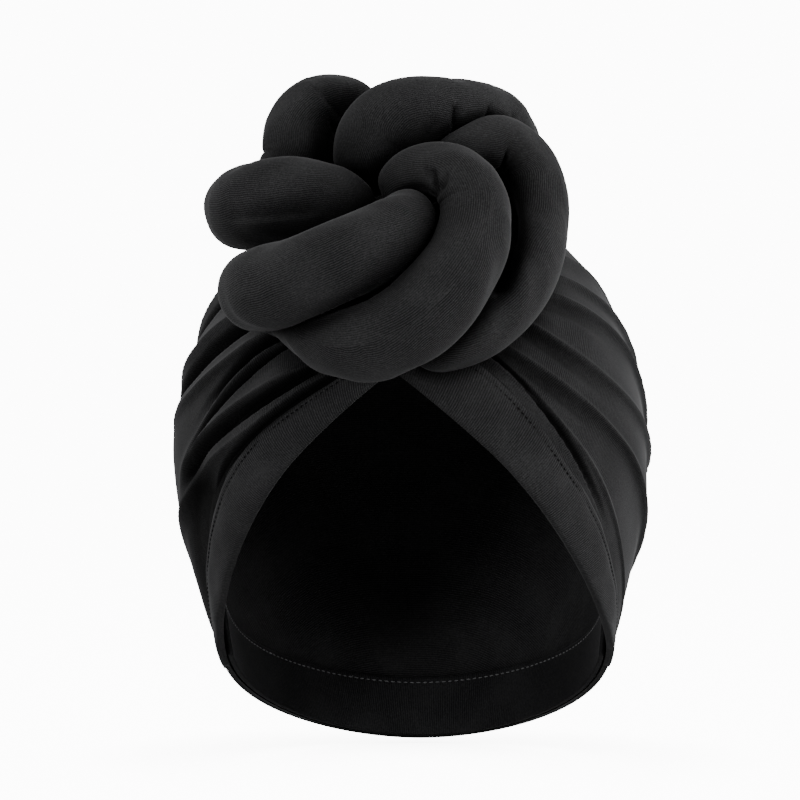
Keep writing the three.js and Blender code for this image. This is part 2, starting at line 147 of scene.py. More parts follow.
def direction_at(angle_deg, height):
    drop = np.maximum(-height, 0)
    root = np.sqrt(CAP_TOP**2 + 4 * LOWER_STRETCH * drop)
    z = np.where(height >= 0, height / CAP_TOP, (CAP_TOP - root) / (2 * LOWER_STRETCH))
    across = np.sqrt(np.maximum(1 - z * z, 0))
    angle = np.radians(angle_deg)
    return np.stack([across * np.sin(angle), -across * np.cos(angle), z], axis=-1)


def hem_height(angle_deg):
    share = np.clip((np.abs(angle_deg) - CORNER_ANGLE) / (180 - CORNER_ANGLE), 0, 1)
    return -CORNER_DROP - (NAPE_DROP - CORNER_DROP) * (1 - (1 - share) ** HEM_ROUNDING)


print("cap is", 2 * CAP_HALF_WIDTH, "mm wide and", CAP_FRONT + CAP_BACK, "mm deep")


# %% [markdown]
# ## The lines of the cloth
# On the real turban every fold starts at the gathered middle of the front, under the knot, and
# runs round the side to the hem. Drawing the cloth along those lines makes the folds easy: a
# fold is simply a band of neighbouring lines that stands a little proud.

# %% Lines from the gathers to the hem
START_SPREAD = 4
SEAM_TURNS = (0.12, 0.42)


def sweep(edge, share, t):
    share, t = np.broadcast_arrays(np.asarray(share, float), np.asarray(t, float))
    start_height = mix(GATHER_TOP, OPENING_TOP, share**GATHER_SPREAD)
    start = direction_at(OPENING_TOP_ANGLE * share**START_SPREAD, start_height)
    end_angle = edge.side * (180 - (180 - CORNER_ANGLE) * share**HEM_SPREAD)
    end = direction_at(end_angle, hem_height(end_angle))
    turn = np.radians(edge.turn * share**SIDE_SPREAD)
    y = mix(CROWN_LEAN_BACK, edge.forward, share**2)
    across = np.sqrt(1 - y * y)
    middle = np.stack([edge.side * np.sin(turn) * across, y, np.cos(turn) * across], axis=-1)
    w = t[..., None]
    return unit((1 - w) ** 2 * start + 2 * w * (1 - w) * middle + w**2 * end)


def seam_share(edge, t):
    return mix(edge.seam_high, edge.seam_low, smooth(*SEAM_TURNS, t))


# %% [markdown]
# ## Folds and gathers
# Stretched jersey folds in a special way: the crest of a pleat is a narrow roll, steep on the
# side that faces the opening and easy on the other. Between tight pleats lie narrow grooves.
# One table holds the ridges and grooves that are seen on each side, from the opening outwards.
# Where the knot sits the ridges are pressed flat. How deep a point lies in a groove is kept as
# well, because hardly any light reaches the bottom and the material darkens it by that share.

# %% The folds, as rows of named columns
KNOT_ACROSS, KNOT_UP, KNOT_REACH, KNOT_FLAT_FROM = -9.5, 77.0, 62.0, 0.78
FOLD_FADE, FOLD_TAIL = 0.06, 0.11
FOLD_NEAR, FOLD_FAR, FOLD_BEFORE, FOLD_BEYOND = 0.2, 0.7, -1.5, 1.4
CREST_HALF = 0.0042
GROOVES_NEARER = 0.22
# the powers shape ridges and grooves; the last is the groove depth, in walls, at which a groove's painted
# shade is full
RIDGE_POWER, GROOVE_POWER, FULL_SHADE_GROOVE = 1.6, 4, 1.6

# near, middle and far are the fold's shares of the way from the crown to the opening, at
# FOLD_NEAR, half way and FOLD_FAR along its lines; rise is in walls and a groove is negative;
# half is half the width in shares; start and end are where along the lines it begins and runs
# out; steep is how much narrower the side towards the opening is; lean is how many shares it
# rolls over towards the opening; crest is the thin pinched line on top, in millimetres; rows
# without the last three are alike on both sides, upright and without a crest
Fold = namedtuple("Fold", "edge near middle far rise half start end steep lean crest",
                  defaults=(1.0, 0.0, 0.0))
FOLDS = [
    Fold(LEFT, 0.914, 0.896, 0.880, -3.2, 0.0075, 0.08, 0.60),
    Fold(LEFT, 1.143, 0.914, 0.850, -1.7, 0.058, 0.53, 0.84),
    Fold(LEFT, 0.895, 0.872, 0.765, 1.3, 0.020, 0.06, 0.70, 0.7, 0.006, 0.5),
    Fold(LEFT, 0.880, 0.840, 0.755, -3.4, 0.0095, 0.12, 0.56, 1.0, -0.004),
    Fold(LEFT, 0.862, 0.818, 0.745, 1.3, 0.014, 0.06, 0.56, 0.7, 0.006, 0.5),
    Fold(LEFT, 0.800, 0.799, 0.770, -2.2, 0.005, 0.16, 0.48),
    Fold(LEFT, 0.788, 0.788, 0.750, 1.0, 0.006, 0.14, 0.42, 1.0, 0.0, 0.3),
    Fold(LEFT, 0.772, 0.773, 0.755, -3.2, 0.011, 0.12, 0.40),
    Fold(LEFT, 0.752, 0.728, 0.600, 1.3, 0.016, 0.06, 0.54, 0.7, 0.006, 0.5),
    Fold(LEFT, 0.724, 0.684, 0.580, -3.8, 0.0125, 0.10, 0.57, 1.0, -0.004),
    Fold(LEFT, 0.690, 0.648, 0.530, 1.2, 0.020, 0.06, 0.56, 0.7, 0.006, 0.5),
    Fold(LEFT, 0.628, 0.580, 0.500, -3.0, 0.012, 0.10, 0.56, 1.0, -0.004),
    Fold(LEFT, 0.590, 0.540, 0.460, 1.2, 0.026, 0.06, 0.60, 0.7, 0.004, 0.4),
    Fold(LEFT, 0.600, 0.640, 0.680, 1.7, 0.140, 0.55, 0.90),
    Fold(RIGHT, 0.853, 0.901, 0.911, -1.0, 0.006, 0.08, 0.46),
    Fold(RIGHT, 0.864, 0.882, 0.884, 0.3, 0.030, 0.06, 0.80, 1.0, 0.0, 0.8),
    Fold(RIGHT, 0.840, 0.826, 0.770, -0.5, 0.012, 0.08, 0.34),
    Fold(RIGHT, 0.820, 0.803, 0.735, 0.8, 0.036, 0.06, 0.78, 0.3, 0.004, 0.8),
    Fold(RIGHT, 0.774, 0.760, 0.650, -0.5, 0.013, 0.08, 0.34),
    Fold(RIGHT, 0.757, 0.737, 0.620, 0.8, 0.038, 0.06, 0.74, 0.3, 0.004, 0.8),
    Fold(RIGHT, 0.720, 0.664, 0.610, -0.5, 0.014, 0.08, 0.34),
    Fold(RIGHT, 0.700, 0.640, 0.580, 0.9, 0.040, 0.06, 0.74, 0.3, 0.004, 0.8),
    Fold(RIGHT, 0.655, 0.585, 0.500, 1.0, 0.042, 0.06, 0.72, 0.3, 0.004, 0.7),
    Fold(RIGHT, 0.600, 0.520, 0.440, 0.8, 0.045, 0.06, 0.72, 0.4, 0.0, 0.4),
    Fold(RIGHT, 0.700, 0.712, 0.720, 0.9, 0.090, 0.06, 0.84),
]


def clear_of_knot(points, nearer=0.0):
    away = np.hypot(points[..., 0] - KNOT_ACROSS, points[..., 2] - KNOT_UP) / KNOT_REACH
    return np.where(points[..., 1] < 0, smooth(KNOT_FLAT_FROM - nearer, 1 - nearer, away), 1.0)


def fold_rise(edge, share, t, points):
    """How far points stand off the cap in mm, roll over in shares and lie in a groove, 0 to 1."""
    ridge_free, groove_free = clear_of_knot(points), clear_of_knot(points, GROOVES_NEARER)
    rise = np.zeros(np.broadcast(share, t).shape)
    roll, groove = np.zeros_like(rise), np.zeros_like(rise)
    along = np.clip((t - FOLD_NEAR) * 2 / (FOLD_FAR - FOLD_NEAR) - 1, FOLD_BEFORE, FOLD_BEYOND)
    for fold in FOLDS:
        if fold.edge is not edge:
            continue
        bend = (fold.near + fold.far) / 2 - fold.middle
        centre = fold.middle + (fold.far - fold.near) / 2 * along + bend * along**2
        away = (share - centre) / fold.half
        away = np.where(away > 0, away / fold.steep, away)
        running = between(t, fold.start - FOLD_FADE, fold.start + FOLD_FADE,
                          fold.end - FOLD_FADE, fold.end + FOLD_TAIL)
        free, power = (ridge_free, RIDGE_POWER) if fold.rise > 0 else (groove_free, GROOVE_POWER)
        running = running * free
        swell = running * np.exp(-np.abs(away) ** power)
        rise += fold.rise * WALL * swell
        rise += fold.crest * running * np.exp(-((share - centre) / CREST_HALF) ** 2)
        roll += fold.lean * swell
        groove += max(0.0, -fold.rise / FULL_SHADE_GROOVE) * swell
    return rise, roll, np.clip(groove, 0, 1)


print(len(FOLDS), "folds on the two sides")

# %% [markdown]
# ## Small unevenness
# No cloth is perfectly even. A handful of slow sine waves in different directions, with their
# directions and phases drawn from a fixed seed, gives a gentle unevenness that is the same on
# every run. A noise texture could do it too, but a sum of waves works on arrays directly.


# %% A soft field of waves
WAVE_COUNT, WAVE_LENGTHS = 9, (0.7, 1.5)


def soft_waves(points, wavelength, seed):
    draw = np.random.default_rng(seed)
    field = np.zeros(points.shape[:-1])
    for _ in range(WAVE_COUNT):
        heading = unit(draw.normal(size=3))
        length = wavelength * draw.uniform(*WAVE_LENGTHS)
        phase = draw.uniform(0, 2 * math.pi)
        field += np.sin(2 * math.pi * (points @ heading) / length + phase)
    return field / math.sqrt(WAVE_COUNT)


# %% [markdown]
# ## Making a mesh from a grid
# Every piece here is a grid of points that closes on itself, so one helper turns rows of points
# into quads. It also writes the piece's own UV map in metres of cloth, measured along the
# surface, because a knit follows the cloth and not the world.

# %% From points, quads and cloth coordinates to a Blender mesh
FRAME_SHIFT = np.array([0.0, 0.0, -(CAP_TOP - WALL)])


def add_object(name, data):
    thing = bpy.data.objects.new(name, data)
    bpy.context.scene.collection.objects.link(thing)
    return thing


def make_piece(name, points, faces, corner_uv, fans=()):
    points = (np.asarray(points) + FRAME_SHIFT) * MM
    faces = np.asarray(faces)
    corners = points[faces]
    cross = np.cross(corners[:, 2] - corners[:, 0], corners[:, 3] - corners[:, 1])
    if float((corners.mean(1) * cross).sum()) < 0:
        faces, corner_uv = faces[:, ::-1], corner_uv[:, ::-1]
        fans = [fan[::-1] for fan in fans]
    mesh = bpy.data.meshes.new(name)
    mesh.from_pydata(points.tolist(), [], faces.tolist() + [list(map(int, fan)) for fan in fans])
    layer = mesh.uv_layers.new(name="cloth")
    uv = np.zeros((len(mesh.loops), 2))
    uv[: faces.size] = corner_uv.reshape(-1, 2)
    if len(fans):
        uv[faces.size :] = corner_uv.reshape(-1, 2)[-1]
    layer.data.foreach_set("uv", uv.ravel() * MM)
    mesh.shade_smooth()
    mesh.validate()
    print(f"{name}: {len(mesh.polygons)} faces")
    return add_object(name, mesh)


def grid_quads(rows, columns):
    row, column = np.meshgrid(np.arange(rows - 1), np.arange(columns - 1), indexing="ij")
    a = (row * columns + column).ravel()
    return np.stack([a, a + 1, a + columns + 1, a + columns], axis=1)


def arc_length(points, axis):
    steps = np.linalg.norm(np.diff(points, axis=axis), axis=-1)
    start = np.zeros_like(np.take(steps, [0], axis=axis))
    return np.concatenate([start, np.cumsum(steps, axis=axis)], axis=axis)


# %% [markdown]
# ## The crown
# The crown is one sheet of jersey, gathered into a short line at the front. It could be draped
# with a cloth simulation, but the folds of this one are held by tension and by the knot, and a
# simulation would smooth them away. So the sheet is laid out line by line: first its outer
# face, then an inner face one wall deeper, and a rolled rim between the two. Its front edge is
# tucked a little under the bands, as in a sewn seam.

# %% The crown's outer and inner faces
CROWN_ROWS, CROWN_COLUMNS, COLUMN_CROWDING = 98, 248, 1.65
GATHER_DEPTH, GATHER_WAVE = 0.55, (30, 1.7, 9)
UNEVEN_DEPTH, UNEVEN_LENGTH, UNEVEN_SEED = 0.28, 34.0, 11
PUCKER_DEPTH, PUCKER_WAVE, PUCKER_REACH = 0.5, (58, 2, 21), 0.022
# where each is seen: along the lines, and where it fades towards the opening
GATHERS_ALONG, GATHERS_FADE = (0, 0.05, 0.08, 0.34), (0.72, 0.9)
UNEVEN_ALONG, UNEVEN_FADES = (0, 0.12, 0.86, 1), (0.8, 0.9)
PUCKERS_START, PUCKERS_FADE = (0, 0.2), (0.4, 0.6)
SEAM_DIP, SEAM_SLOPE, SEAM_TUCK = 0.7, 45.0, 0.006
LEAST_WALL, INNER_FOLLOWS = 0.9, 0.35


def wandering_wave(place, count, drift, drift_rate):
    """A cosine whose crests don't lie quite evenly."""
    return np.cos(2 * math.pi * count * place + drift * np.sin(drift_rate * place))


def crown_half(edge):
    column = np.arange(CROWN_COLUMNS + 1)[:, None] / CROWN_COLUMNS
    t = (np.arange(CROWN_ROWS + 1) / CROWN_ROWS)[None, :]
    seam = seam_share(edge, t)
    share = (seam + SEAM_TUCK) * (1 - (1 - column) ** COLUMN_CROWDING)
    rise, roll, groove = fold_rise(edge, share, t, cap_point(sweep(edge, share, t)))
    q = sweep(edge, share + roll, t)
    base = cap_point(q)
    clear = clear_of_knot(base)
    fade = between(t, *GATHERS_ALONG) * (1 - smooth(*GATHERS_FADE, share))
    rise = rise + GATHER_DEPTH * clear * fade * wandering_wave(share, *GATHER_WAVE)
    calm = between(t, *UNEVEN_ALONG) * (1 - smooth(*UNEVEN_FADES, share))
    rise = rise + UNEVEN_DEPTH * calm * clear * soft_waves(base, UNEVEN_LENGTH, UNEVEN_SEED)
    to_seam = (seam - share) / PUCKER_REACH
    pucker = wandering_wave(t, *PUCKER_WAVE) * np.exp(-to_seam)
    rise = rise + PUCKER_DEPTH * pucker * smooth(*PUCKERS_START, to_seam) * (1 - smooth(*PUCKERS_FADE, t))
    rise = np.maximum(rise, -SEAM_DIP * WALL - SEAM_SLOPE * (seam - share))
    return base, cap_normal(q), rise, groove


halves = [crown_half(edge) for edge in (LEFT, RIGHT)]
base, normal, rise, groove = [
    np.concatenate([left[:0:-1], right]) for left, right in zip(*halves)
]
outer = base + normal * rise[..., None]
inner = base + normal * np.minimum(rise - LEAST_WALL, INNER_FOLLOWS * rise - WALL)[..., None]
print("crown grid:", outer.shape[:2], "highest fold", round(float(rise.max()), 2), "mm")

# %% Close the crown with its rim and zip the gathered line
COLUMNS, ROWS = outer.shape[:2]


def crown_piece():
    layers = 2 * COLUMNS * ROWS
    index = np.arange(layers).reshape(2, COLUMNS, ROWS)
    index[:, CROWN_COLUMNS + 1 :, 0] = index[:, CROWN_COLUMNS - 1 :: -1, 0]
    along = arc_length(outer, 1)
    middle = ROWS // 2
    around = arc_length(outer[:, middle : middle + 1], 0)
    cloth = np.stack([np.broadcast_to(around, along.shape), along], axis=-1)
    flat_uv = cloth.reshape(-1, 2)
    print("crown cloth laid flat, mm:", flat_uv.max(0).round(), "mean length", along[:, -1].mean().round())
    cell = grid_quads(COLUMNS, ROWS)
    faces = [index[0].ravel()[cell], index[1].ravel()[cell][:, ::-1]]
    uvs = [flat_uv[cell], flat_uv[cell][:, ::-1]]
    rim = [(COLUMNS - 1, row) for row in range(ROWS - 1)]
    rim += [(column, ROWS - 1) for column in range(COLUMNS - 1, 0, -1)]
    rim += [(0, row) for row in range(ROWS - 1, 0, -1)]
    rim = np.array(rim)
    after = np.roll(rim, -1, axis=0)
    a, b = index[0][rim[:, 0], rim[:, 1]], index[0][after[:, 0], after[:, 1]]
    c, d = index[1][rim[:, 0], rim[:, 1]], index[1][after[:, 0], after[:, 1]]
    faces.append(np.stack([b, a, c, d], axis=1))
    uv_a, uv_b = cloth[rim[:, 0], rim[:, 1]], cloth[after[:, 0], after[:, 1]]
    uvs.append(np.stack([uv_b, uv_a, uv_a, uv_b], axis=1))
    points = np.concatenate([outer.reshape(-1, 3), inner.reshape(-1, 3)])
    piece = make_piece("crown_jersey", points, np.concatenate(faces), np.concatenate(uvs))
    # how deep each point lies in a groove, kept for the material, which darkens the colour there as painted
    # shade
    shade = piece.data.attributes.new("groove", "FLOAT", "POINT")
    shade.data.foreach_set("value", np.concatenate([groove.ravel(), np.zeros(groove.size)]))
    return piece


crown = crown_piece()


# %% [markdown]
# ## The folded bands of the opening
# Along the opening the jersey is folded double and sewn down, which makes a flat band about
# twenty millimetres wide with a soft rolled edge and a sewn groove on its outer side. Each band
# is a closed ring of points carried along the opening. The ring is drawn from listed points,
# because a bevel would round all its corners alike.

# %% The section of a band and the two bands
BAND_RISE, BAND_START = 1.0, 0.014
BAND_ROWS, ROW_CROWDING, BAND_SIDES = 220, 1.15, 56
SEAM_STEP = 0.01
RIPPLE_DEPTH, RIPPLE_LENGTH, RIPPLE_SEED = 0.16, 15.0, 5
SECTION_STEPS, SECTION_SCALE = 16, (20.0, 2.0)
# across the band, from its sewn edge to the opening, and up from the cap
BAND_SECTION = np.array([
    [0, -0.5], [0.03, 0.15], [0.1, 0.62], [0.16, 0.4], [0.22, 0.74], [0.4, 0.95], [0.6, 1.0],
    [0.8, 0.92], [0.93, 0.62], [0.99, 0.1], [1, -0.5], [0.95, -1], [0.65, -1], [0.35, -1],
    [0.06, -1],
])


def closed_curve(corners, count):
    """A smooth closed line through the corners, sampled evenly."""
    p = np.asarray(corners, float)
    before, after, next_one = np.roll(p, 1, 0), np.roll(p, -1, 0), np.roll(p, -2, 0)
    u = (np.arange(SECTION_STEPS) / SECTION_STEPS)[:, None, None]
    line = 0.5 * (2 * p + (after - before) * u + (2 * before - 5 * p + 4 * after - next_one) * u**2
                  + (3 * p - before - 3 * after + next_one) * u**3)
    line = line.transpose(1, 0, 2).reshape(-1, p.shape[1])
    line = np.concatenate([line, line[:1]])
    walked = arc_length(line * SECTION_SCALE, 0)
    at = np.linspace(0, walked[-1], count, endpoint=False)
    return np.stack([np.interp(at, walked, line[:, k]) for k in range(p.shape[1])], axis=1)


def tube_piece(name, rings):
    """A closed tube from rings of points, with cloth coordinates round and along it."""
    count, sides = rings.shape[:2]
    closed = np.concatenate([rings, rings[:, :1]], axis=1)
    girth = arc_length(closed, 1)
    walk = arc_length(closed.mean(1, keepdims=True), 0)
    cloth = np.stack([girth, np.broadcast_to(walk, girth.shape)], axis=-1)
    cell = grid_quads(count, sides + 1)
    index = np.arange(count * sides).reshape(count, sides)
    index = np.concatenate([index, index[:, :1]], axis=1).ravel()
    fans = [index[:sides][::-1], index[-sides - 1 : -1]]
    return make_piece(name, rings.reshape(-1, 3), index[cell], cloth.reshape(-1, 2)[cell], fans)


def band_rings(edge):
    t = mix(BAND_START, 1, (np.arange(BAND_ROWS + 1) / BAND_ROWS) ** ROW_CROWDING)
    outer_edge = seam_share(edge, t)
    seam = cap_point(sweep(edge, outer_edge, t))
    beside = cap_point(sweep(edge, outer_edge + SEAM_STEP, t))
    outer_edge = outer_edge + SEAM_STEP * GAP / np.linalg.norm(seam - beside, axis=-1)
    section = closed_curve(BAND_SECTION, BAND_SIDES)
    across, level = section[None, :, 0], section[None, :, 1]
    share = mix(outer_edge[:, None], 1, across)
    q = sweep(edge, share, np.broadcast_to(t[:, None], share.shape))
    offset = np.where(level > 0, BAND_RISE * level, WALL * level)
    base = cap_point(q)
    ripple = RIPPLE_DEPTH * soft_waves(base, RIPPLE_LENGTH, RIPPLE_SEED)
    ripple = ripple * smooth(0, 0.1, t)[:, None] * (level > 0)
    return base + cap_normal(q) * (offset + ripple)[..., None]


bands = [
    tube_piece("opening_band_left", band_rings(LEFT)),
    tube_piece("opening_band_right", band_rings(RIGHT)),
]

# %% [markdown]
# ## The band inside the nape
# A second strip of jersey lies inside the back of the hem and grips the head. Its upper edge is
# folded and topstitched, and near both ends it stands a little away from the cap. It follows
# the hem exactly, so it is drawn with the same direction function as the cap.

# %% The nape band
NAPE_HEIGHT, NAPE_THICKNESS, NAPE_GAP, NAPE_END_ANGLE = 22.0, 2.0, 0.6, 84.0
NAPE_COLUMNS, NAPE_SIDES, NAPE_FULLEST = 260, 64, 1.05
NAPE_STAND_OFF, NAPE_LOOSE_ANGLE, NAPE_STITCH_SHARE = 2.4, 122.0, 0.908
# how far up the band, and how far in from its outer face
NAPE_SECTION = np.array([
    [0, 0.2], [0.015, 0.02], [0.3, 0], [0.6, 0], [0.9, 0], [0.985, 0.1], [1, 0.5], [0.985, 0.9],
    [0.94, 1.0], [0.908, 0.86], [0.875, 1.0], [0.6, 1.04], [0.3, 1.0], [0.015, 0.95], [0, 0.75],
])


def nape_angles(count):
    around = np.linspace(NAPE_END_ANGLE, 360 - NAPE_END_ANGLE, count)
    return np.where(around > 180, around - 360, around)


def nape_rings():
    angle = nape_angles(NAPE_COLUMNS + 1)[:, None]
    section = closed_curve(NAPE_SECTION, NAPE_SIDES)
    up, inward = section[None, :, 0], section[None, :, 1]
    q = direction_at(angle, hem_height(angle) + up * NAPE_HEIGHT)
    stand_off = NAPE_STAND_OFF * smooth(NAPE_LOOSE_ANGLE, NAPE_END_ANGLE, np.abs(angle)) * up
    offset = -(WALL + NAPE_GAP + stand_off + np.clip(inward, 0, NAPE_FULLEST) * NAPE_THICKNESS)
    return cap_point(q) + cap_normal(q) * offset[..., None]


nape = tube_piece("nape_band_jersey", nape_rings())

# %% [markdown]
# ## The knot: middle lines of the stuffed tubes
# The rosette is tied from three lengths of jersey tube filled with soft wadding. Each is drawn
# first as a bare middle line, given in tube diameters: across, up, lift off the knot's leaning
# plane, and girth. A smooth curve through those places is the tube before it is stuffed.

# %% The three strands
TUBE_DIAMETER = 27.0
KNOT_FOOT_Y, KNOT_FOOT_Z, KNOT_LEAN = -104.0, 35.0, math.radians(32)
KNOT_DISH_RADIUS = 80.0
CAP_SLACK, PLEAT_RISE = 0.35, 3.7
SEAT_DEPTH = 0.36 * TUBE_DIAMETER
STRANDS = {
    "knot_strand_front": [
        [0.1, 0.12, -0.3, 0.8], [0.34, 0.33, 0, 0.9], [0.55, 0.5, 0.32, 0.94],
        [0.78, 0.59, 0.62, 0.95], [0.97, 0.52, 0.8, 0.97], [1.11, 0.24, 0.85, 0.97],
        [1.1, -0.08, 0.85, 1], [0.96, -0.46, 0.83, 1.04], [0.68, -0.87, 0.75, 1.08],
        [0.31, -1.2, 0.58, 1.1], [-0.14, -1.39, 0.4, 1.1], [-0.55, -1.36, 0.2, 1.06],
        [-0.86, -1.18, 0, 1], [-1.12, -0.96, -0.12, 0.98], [-1.4, -0.82, -0.02, 0.98],
        [-1.6, -0.78, 0.33, 1.04], [-1.5, -0.76, 0.72, 1.08], [-1.15, -0.67, 0.87, 1.1],
        [-0.75, -0.53, 0.9, 1.1], [-0.38, -0.37, 0.88, 1.08], [0, -0.19, 0.8, 1.05],
        [0.27, 0.01, 0.6, 1], [0.52, 0.26, 0.22, 0.95], [0.8, 0.56, -0.05, 0.95],
        [1.07, 0.86, -0.05, 0.98], [1.42, 1.03, 0.04, 1.02], [1.73, 0.85, 0.1, 1.04],
        [1.87, 0.5, 0.1, 1.04], [1.87, 0.1, 0.1, 1.03], [1.79, -0.32, 0.1, 1.02],
        [1.59, -0.73, 0.08, 1.01], [1.3, -1.07, 0.03, 1], [0.96, -1.31, -0.05, 1],
        [0.6, -1.38, -0.1, 1], [0.25, -1.3, -0.15, 0.8],
    ],
    "knot_strand_left": [
        [-0.1, -0.2, -0.15, 0.8], [-0.4, 0.1, 0.05, 0.95], [-0.7, 0.31, 0.22, 1.08],
        [-1.1, 0.4, 0.36, 1.15], [-1.5, 0.38, 0.36, 1.16], [-1.8, 0.34, 0.12, 1.12],
        [-1.84, 0.36, -0.18, 1.04], [-1.6, 0.44, -0.46, 1], [-1.35, 0.66, -0.5, 0.97],
        [-1.16, 0.98, -0.42, 1.08], [-1.14, 1.32, -0.32, 1.03], [-1.04, 1.61, -0.26, 0.9],
        [-0.76, 1.78, -0.34, 0.84], [-0.46, 1.7, -0.55, 0.84], [-0.2, 1.42, -0.8, 0.84],
        [0.1, 1.08, -0.85, 0.84], [0.4, 0.82, -0.8, 0.8],
    ],
    "knot_strand_top": [
        [0.02, 0.42, -0.45, 0.8], [-0.12, 0.72, -0.3, 0.95], [-0.17, 0.97, -0.08, 1.02],
        [-0.11, 1.24, 0.06, 1.08], [0.08, 1.43, 0.13, 1.12], [0.36, 1.52, 0.12, 1.12],
        [0.68, 1.53, 0.04, 1.12], [1.03, 1.52, -0.1, 1.12], [1.39, 1.45, -0.3, 1.1],
        [1.58, 1.22, -0.5, 1], [1.42, 0.9, -0.6, 0.95], [1.16, 0.62, -0.6, 0.9],
        [0.9, 0.3, -0.5, 0.8],
    ],
}


def strand_places(rows):
    across, up, lift = (np.array(rows)[:, k] * TUBE_DIAMETER for k in range(3))
    z = KNOT_UP + up
    plane = KNOT_FOOT_Y + (z - KNOT_FOOT_Z) * math.tan(KNOT_LEAN) + across**2 / (2 * KNOT_DISH_RADIUS)
    return np.stack([KNOT_ACROSS + across, plane - lift / math.cos(KNOT_LEAN), z], axis=1)


# %% [markdown]
# ## A curve that doesn't overshoot
# A plain spline swings wide where the places lie unevenly. The centripetal kind weighs each
# stretch by the root of its length, so the tube bends only as much as the rows ask.


# %% Centripetal curve, sampled evenly along its length
CURVE_STEPS, LEAST_STRETCH = 32, 1e-4


def even_curve(points, count, extra=None):
    p = np.concatenate([[2 * points[0] - points[1]], points, [2 * points[-1] - points[-2]]])
    dt = np.maximum(np.linalg.norm(np.diff(p, axis=0), axis=1) ** 0.5, LEAST_STRETCH)[:, None]
    u = (np.arange(CURVE_STEPS) / CURVE_STEPS)[:, None, None]
    p0, p1, p2, p3 = p[:-3], p[1:-2], p[2:-1], p[3:]
    d0, d1, d2 = dt[:-2], dt[1:-1], dt[2:]
    t1 = ((p1 - p0) / d0 - (p2 - p0) / (d0 + d1) + (p2 - p1) / d1) * d1
    t2 = ((p2 - p1) / d1 - (p3 - p1) / (d1 + d2) + (p3 - p2) / d2) * d1
    line = p1 + t1 * u + (3 * (p2 - p1) - 2 * t1 - t2) * u**2 + (2 * (p1 - p2) + t1 + t2) * u**3
    line = np.concatenate([line.transpose(1, 0, 2).reshape(-1, 3), points[-1:]])
    place = np.linspace(0, len(points) - 1, len(line))
    walked = arc_length(line, 0)
    at = np.linspace(0, walked[-1], count + 1)
    even = np.stack([np.interp(at, walked, line[:, k]) for k in range(3)], axis=1)
    values = None if extra is None else np.interp(np.interp(at, walked, place), range(len(extra)), extra)
    return even, at, values


def curve_length(points):
    return even_curve(points, 8)[1][-1]


# %% [markdown]
# ## Settling the tubes
# Tied tubes push each other aside and rest on the cap. A rigid-body or cloth simulation would
# find this too, but slowly, and a small change could give quite another knot. A few passes
# that ease near middle lines apart and lift them off the cap do it in a second.

# %% Ease the middle lines apart and seat them on the cap
RING_STEP = 0.24 * TUBE_DIAMETER
LEAST_SPACING = 0.5 * TUBE_DIAMETER
OWN_BEND_LENGTH = 1.3 * TUBE_DIAMETER
SETTLE_PASSES, PAIR_MARGIN = 24, 2


def cap_clearance(points):
    rise = CAP_SLACK + GAP + PLEAT_RISE * clear_of_knot(points)
    radii = np.array([CAP_HALF_WIDTH, CAP_FRONT, CAP_TOP]) + rise[..., None]
    level = np.linalg.norm(points / radii, axis=-1)
    return (level - 1) * np.linalg.norm(points, axis=-1) / level


def seat_on_cap(points):
    short = np.maximum(SEAT_DEPTH - cap_clearance(points), 0)
    outward = unit(points / np.array([CAP_HALF_WIDTH, CAP_FRONT, CAP_TOP]) ** 2)
    return points + outward * short[:, None]


def settle(strands):
    owner = np.concatenate([np.full(len(s["home"]), k) for k, s in enumerate(strands)])
    along = np.concatenate([s["along"] for s in strands])
    home = np.concatenate([s["home"] for s in strands])
    place = home.copy()
    same = (owner[:, None] == owner) & (np.abs(along[:, None] - along) < OWN_BEND_LENGTH)
    pairs = np.argwhere(np.triu(~same, 1))
    for _ in range(SETTLE_PASSES):
        near = np.linalg.norm(place[pairs[:, 0]] - place[pairs[:, 1]], axis=1)
        for a, b in pairs[near < LEAST_SPACING + PAIR_MARGIN]:
            apart = place[a] - place[b]
            length = math.sqrt(float(apart @ apart))
            if length < LEAST_SPACING:
                apart *= (LEAST_SPACING - length) / 2 / length
                place[a] += apart
                place[b] -= apart
        for k in range(len(strands)):
            own = owner == k
            moved = place[own] - home[own]
            ends = np.concatenate([moved[:1], moved, moved[-1:]])
            around = (ends[:-2] + ends[2:]) / 2
            place[own] = seat_on_cap(home[own] + (moved + around) / 2)
    return [place[owner == k] for k in range(len(strands))]


coarse = []
for rows in STRANDS.values():
    places = strand_places(rows)
    count = 2 * round(curve_length(places) / RING_STEP)
    home, along, girth = even_curve(places, count, [row[3] for row in rows])
    coarse.append({"home": home, "along": along, "radius": girth * TUBE_DIAMETER / 2})
settled = settle(coarse)
for name, strand in zip(STRANDS, coarse):
    print(name, "is", round(float(strand["along"][-1])), "mm long")

# %% [markdown]
# ## Stuffing the tubes
# Each ring of a tube swells outwards until it meets its neighbour, the cap, or its own girth.
# Where two tubes meet, both flatten, and the one beneath is pinched in. That leaves the deep
# soft crease that makes the rosette.

# %% Swell every ring until it touches
FINE_STEP, TUBE_SIDES = 1.15, 104
TUBE_GAP = 2 * GAP
SAME_BEND, NEXT_BEND = 0.5 * TUBE_DIAMETER, 1.6 * TUBE_DIAMETER
LEAST_GIRTH, LEAST_END = 0.1 * TUBE_DIAMETER, 0.2
PINCH_DEPTH, PINCH_RANGE, PINCH_ABOVE = 1.3, 5.0, (-1, 7)
SEARCH_STEPS, OWN_PLACE = 11, 1e-6


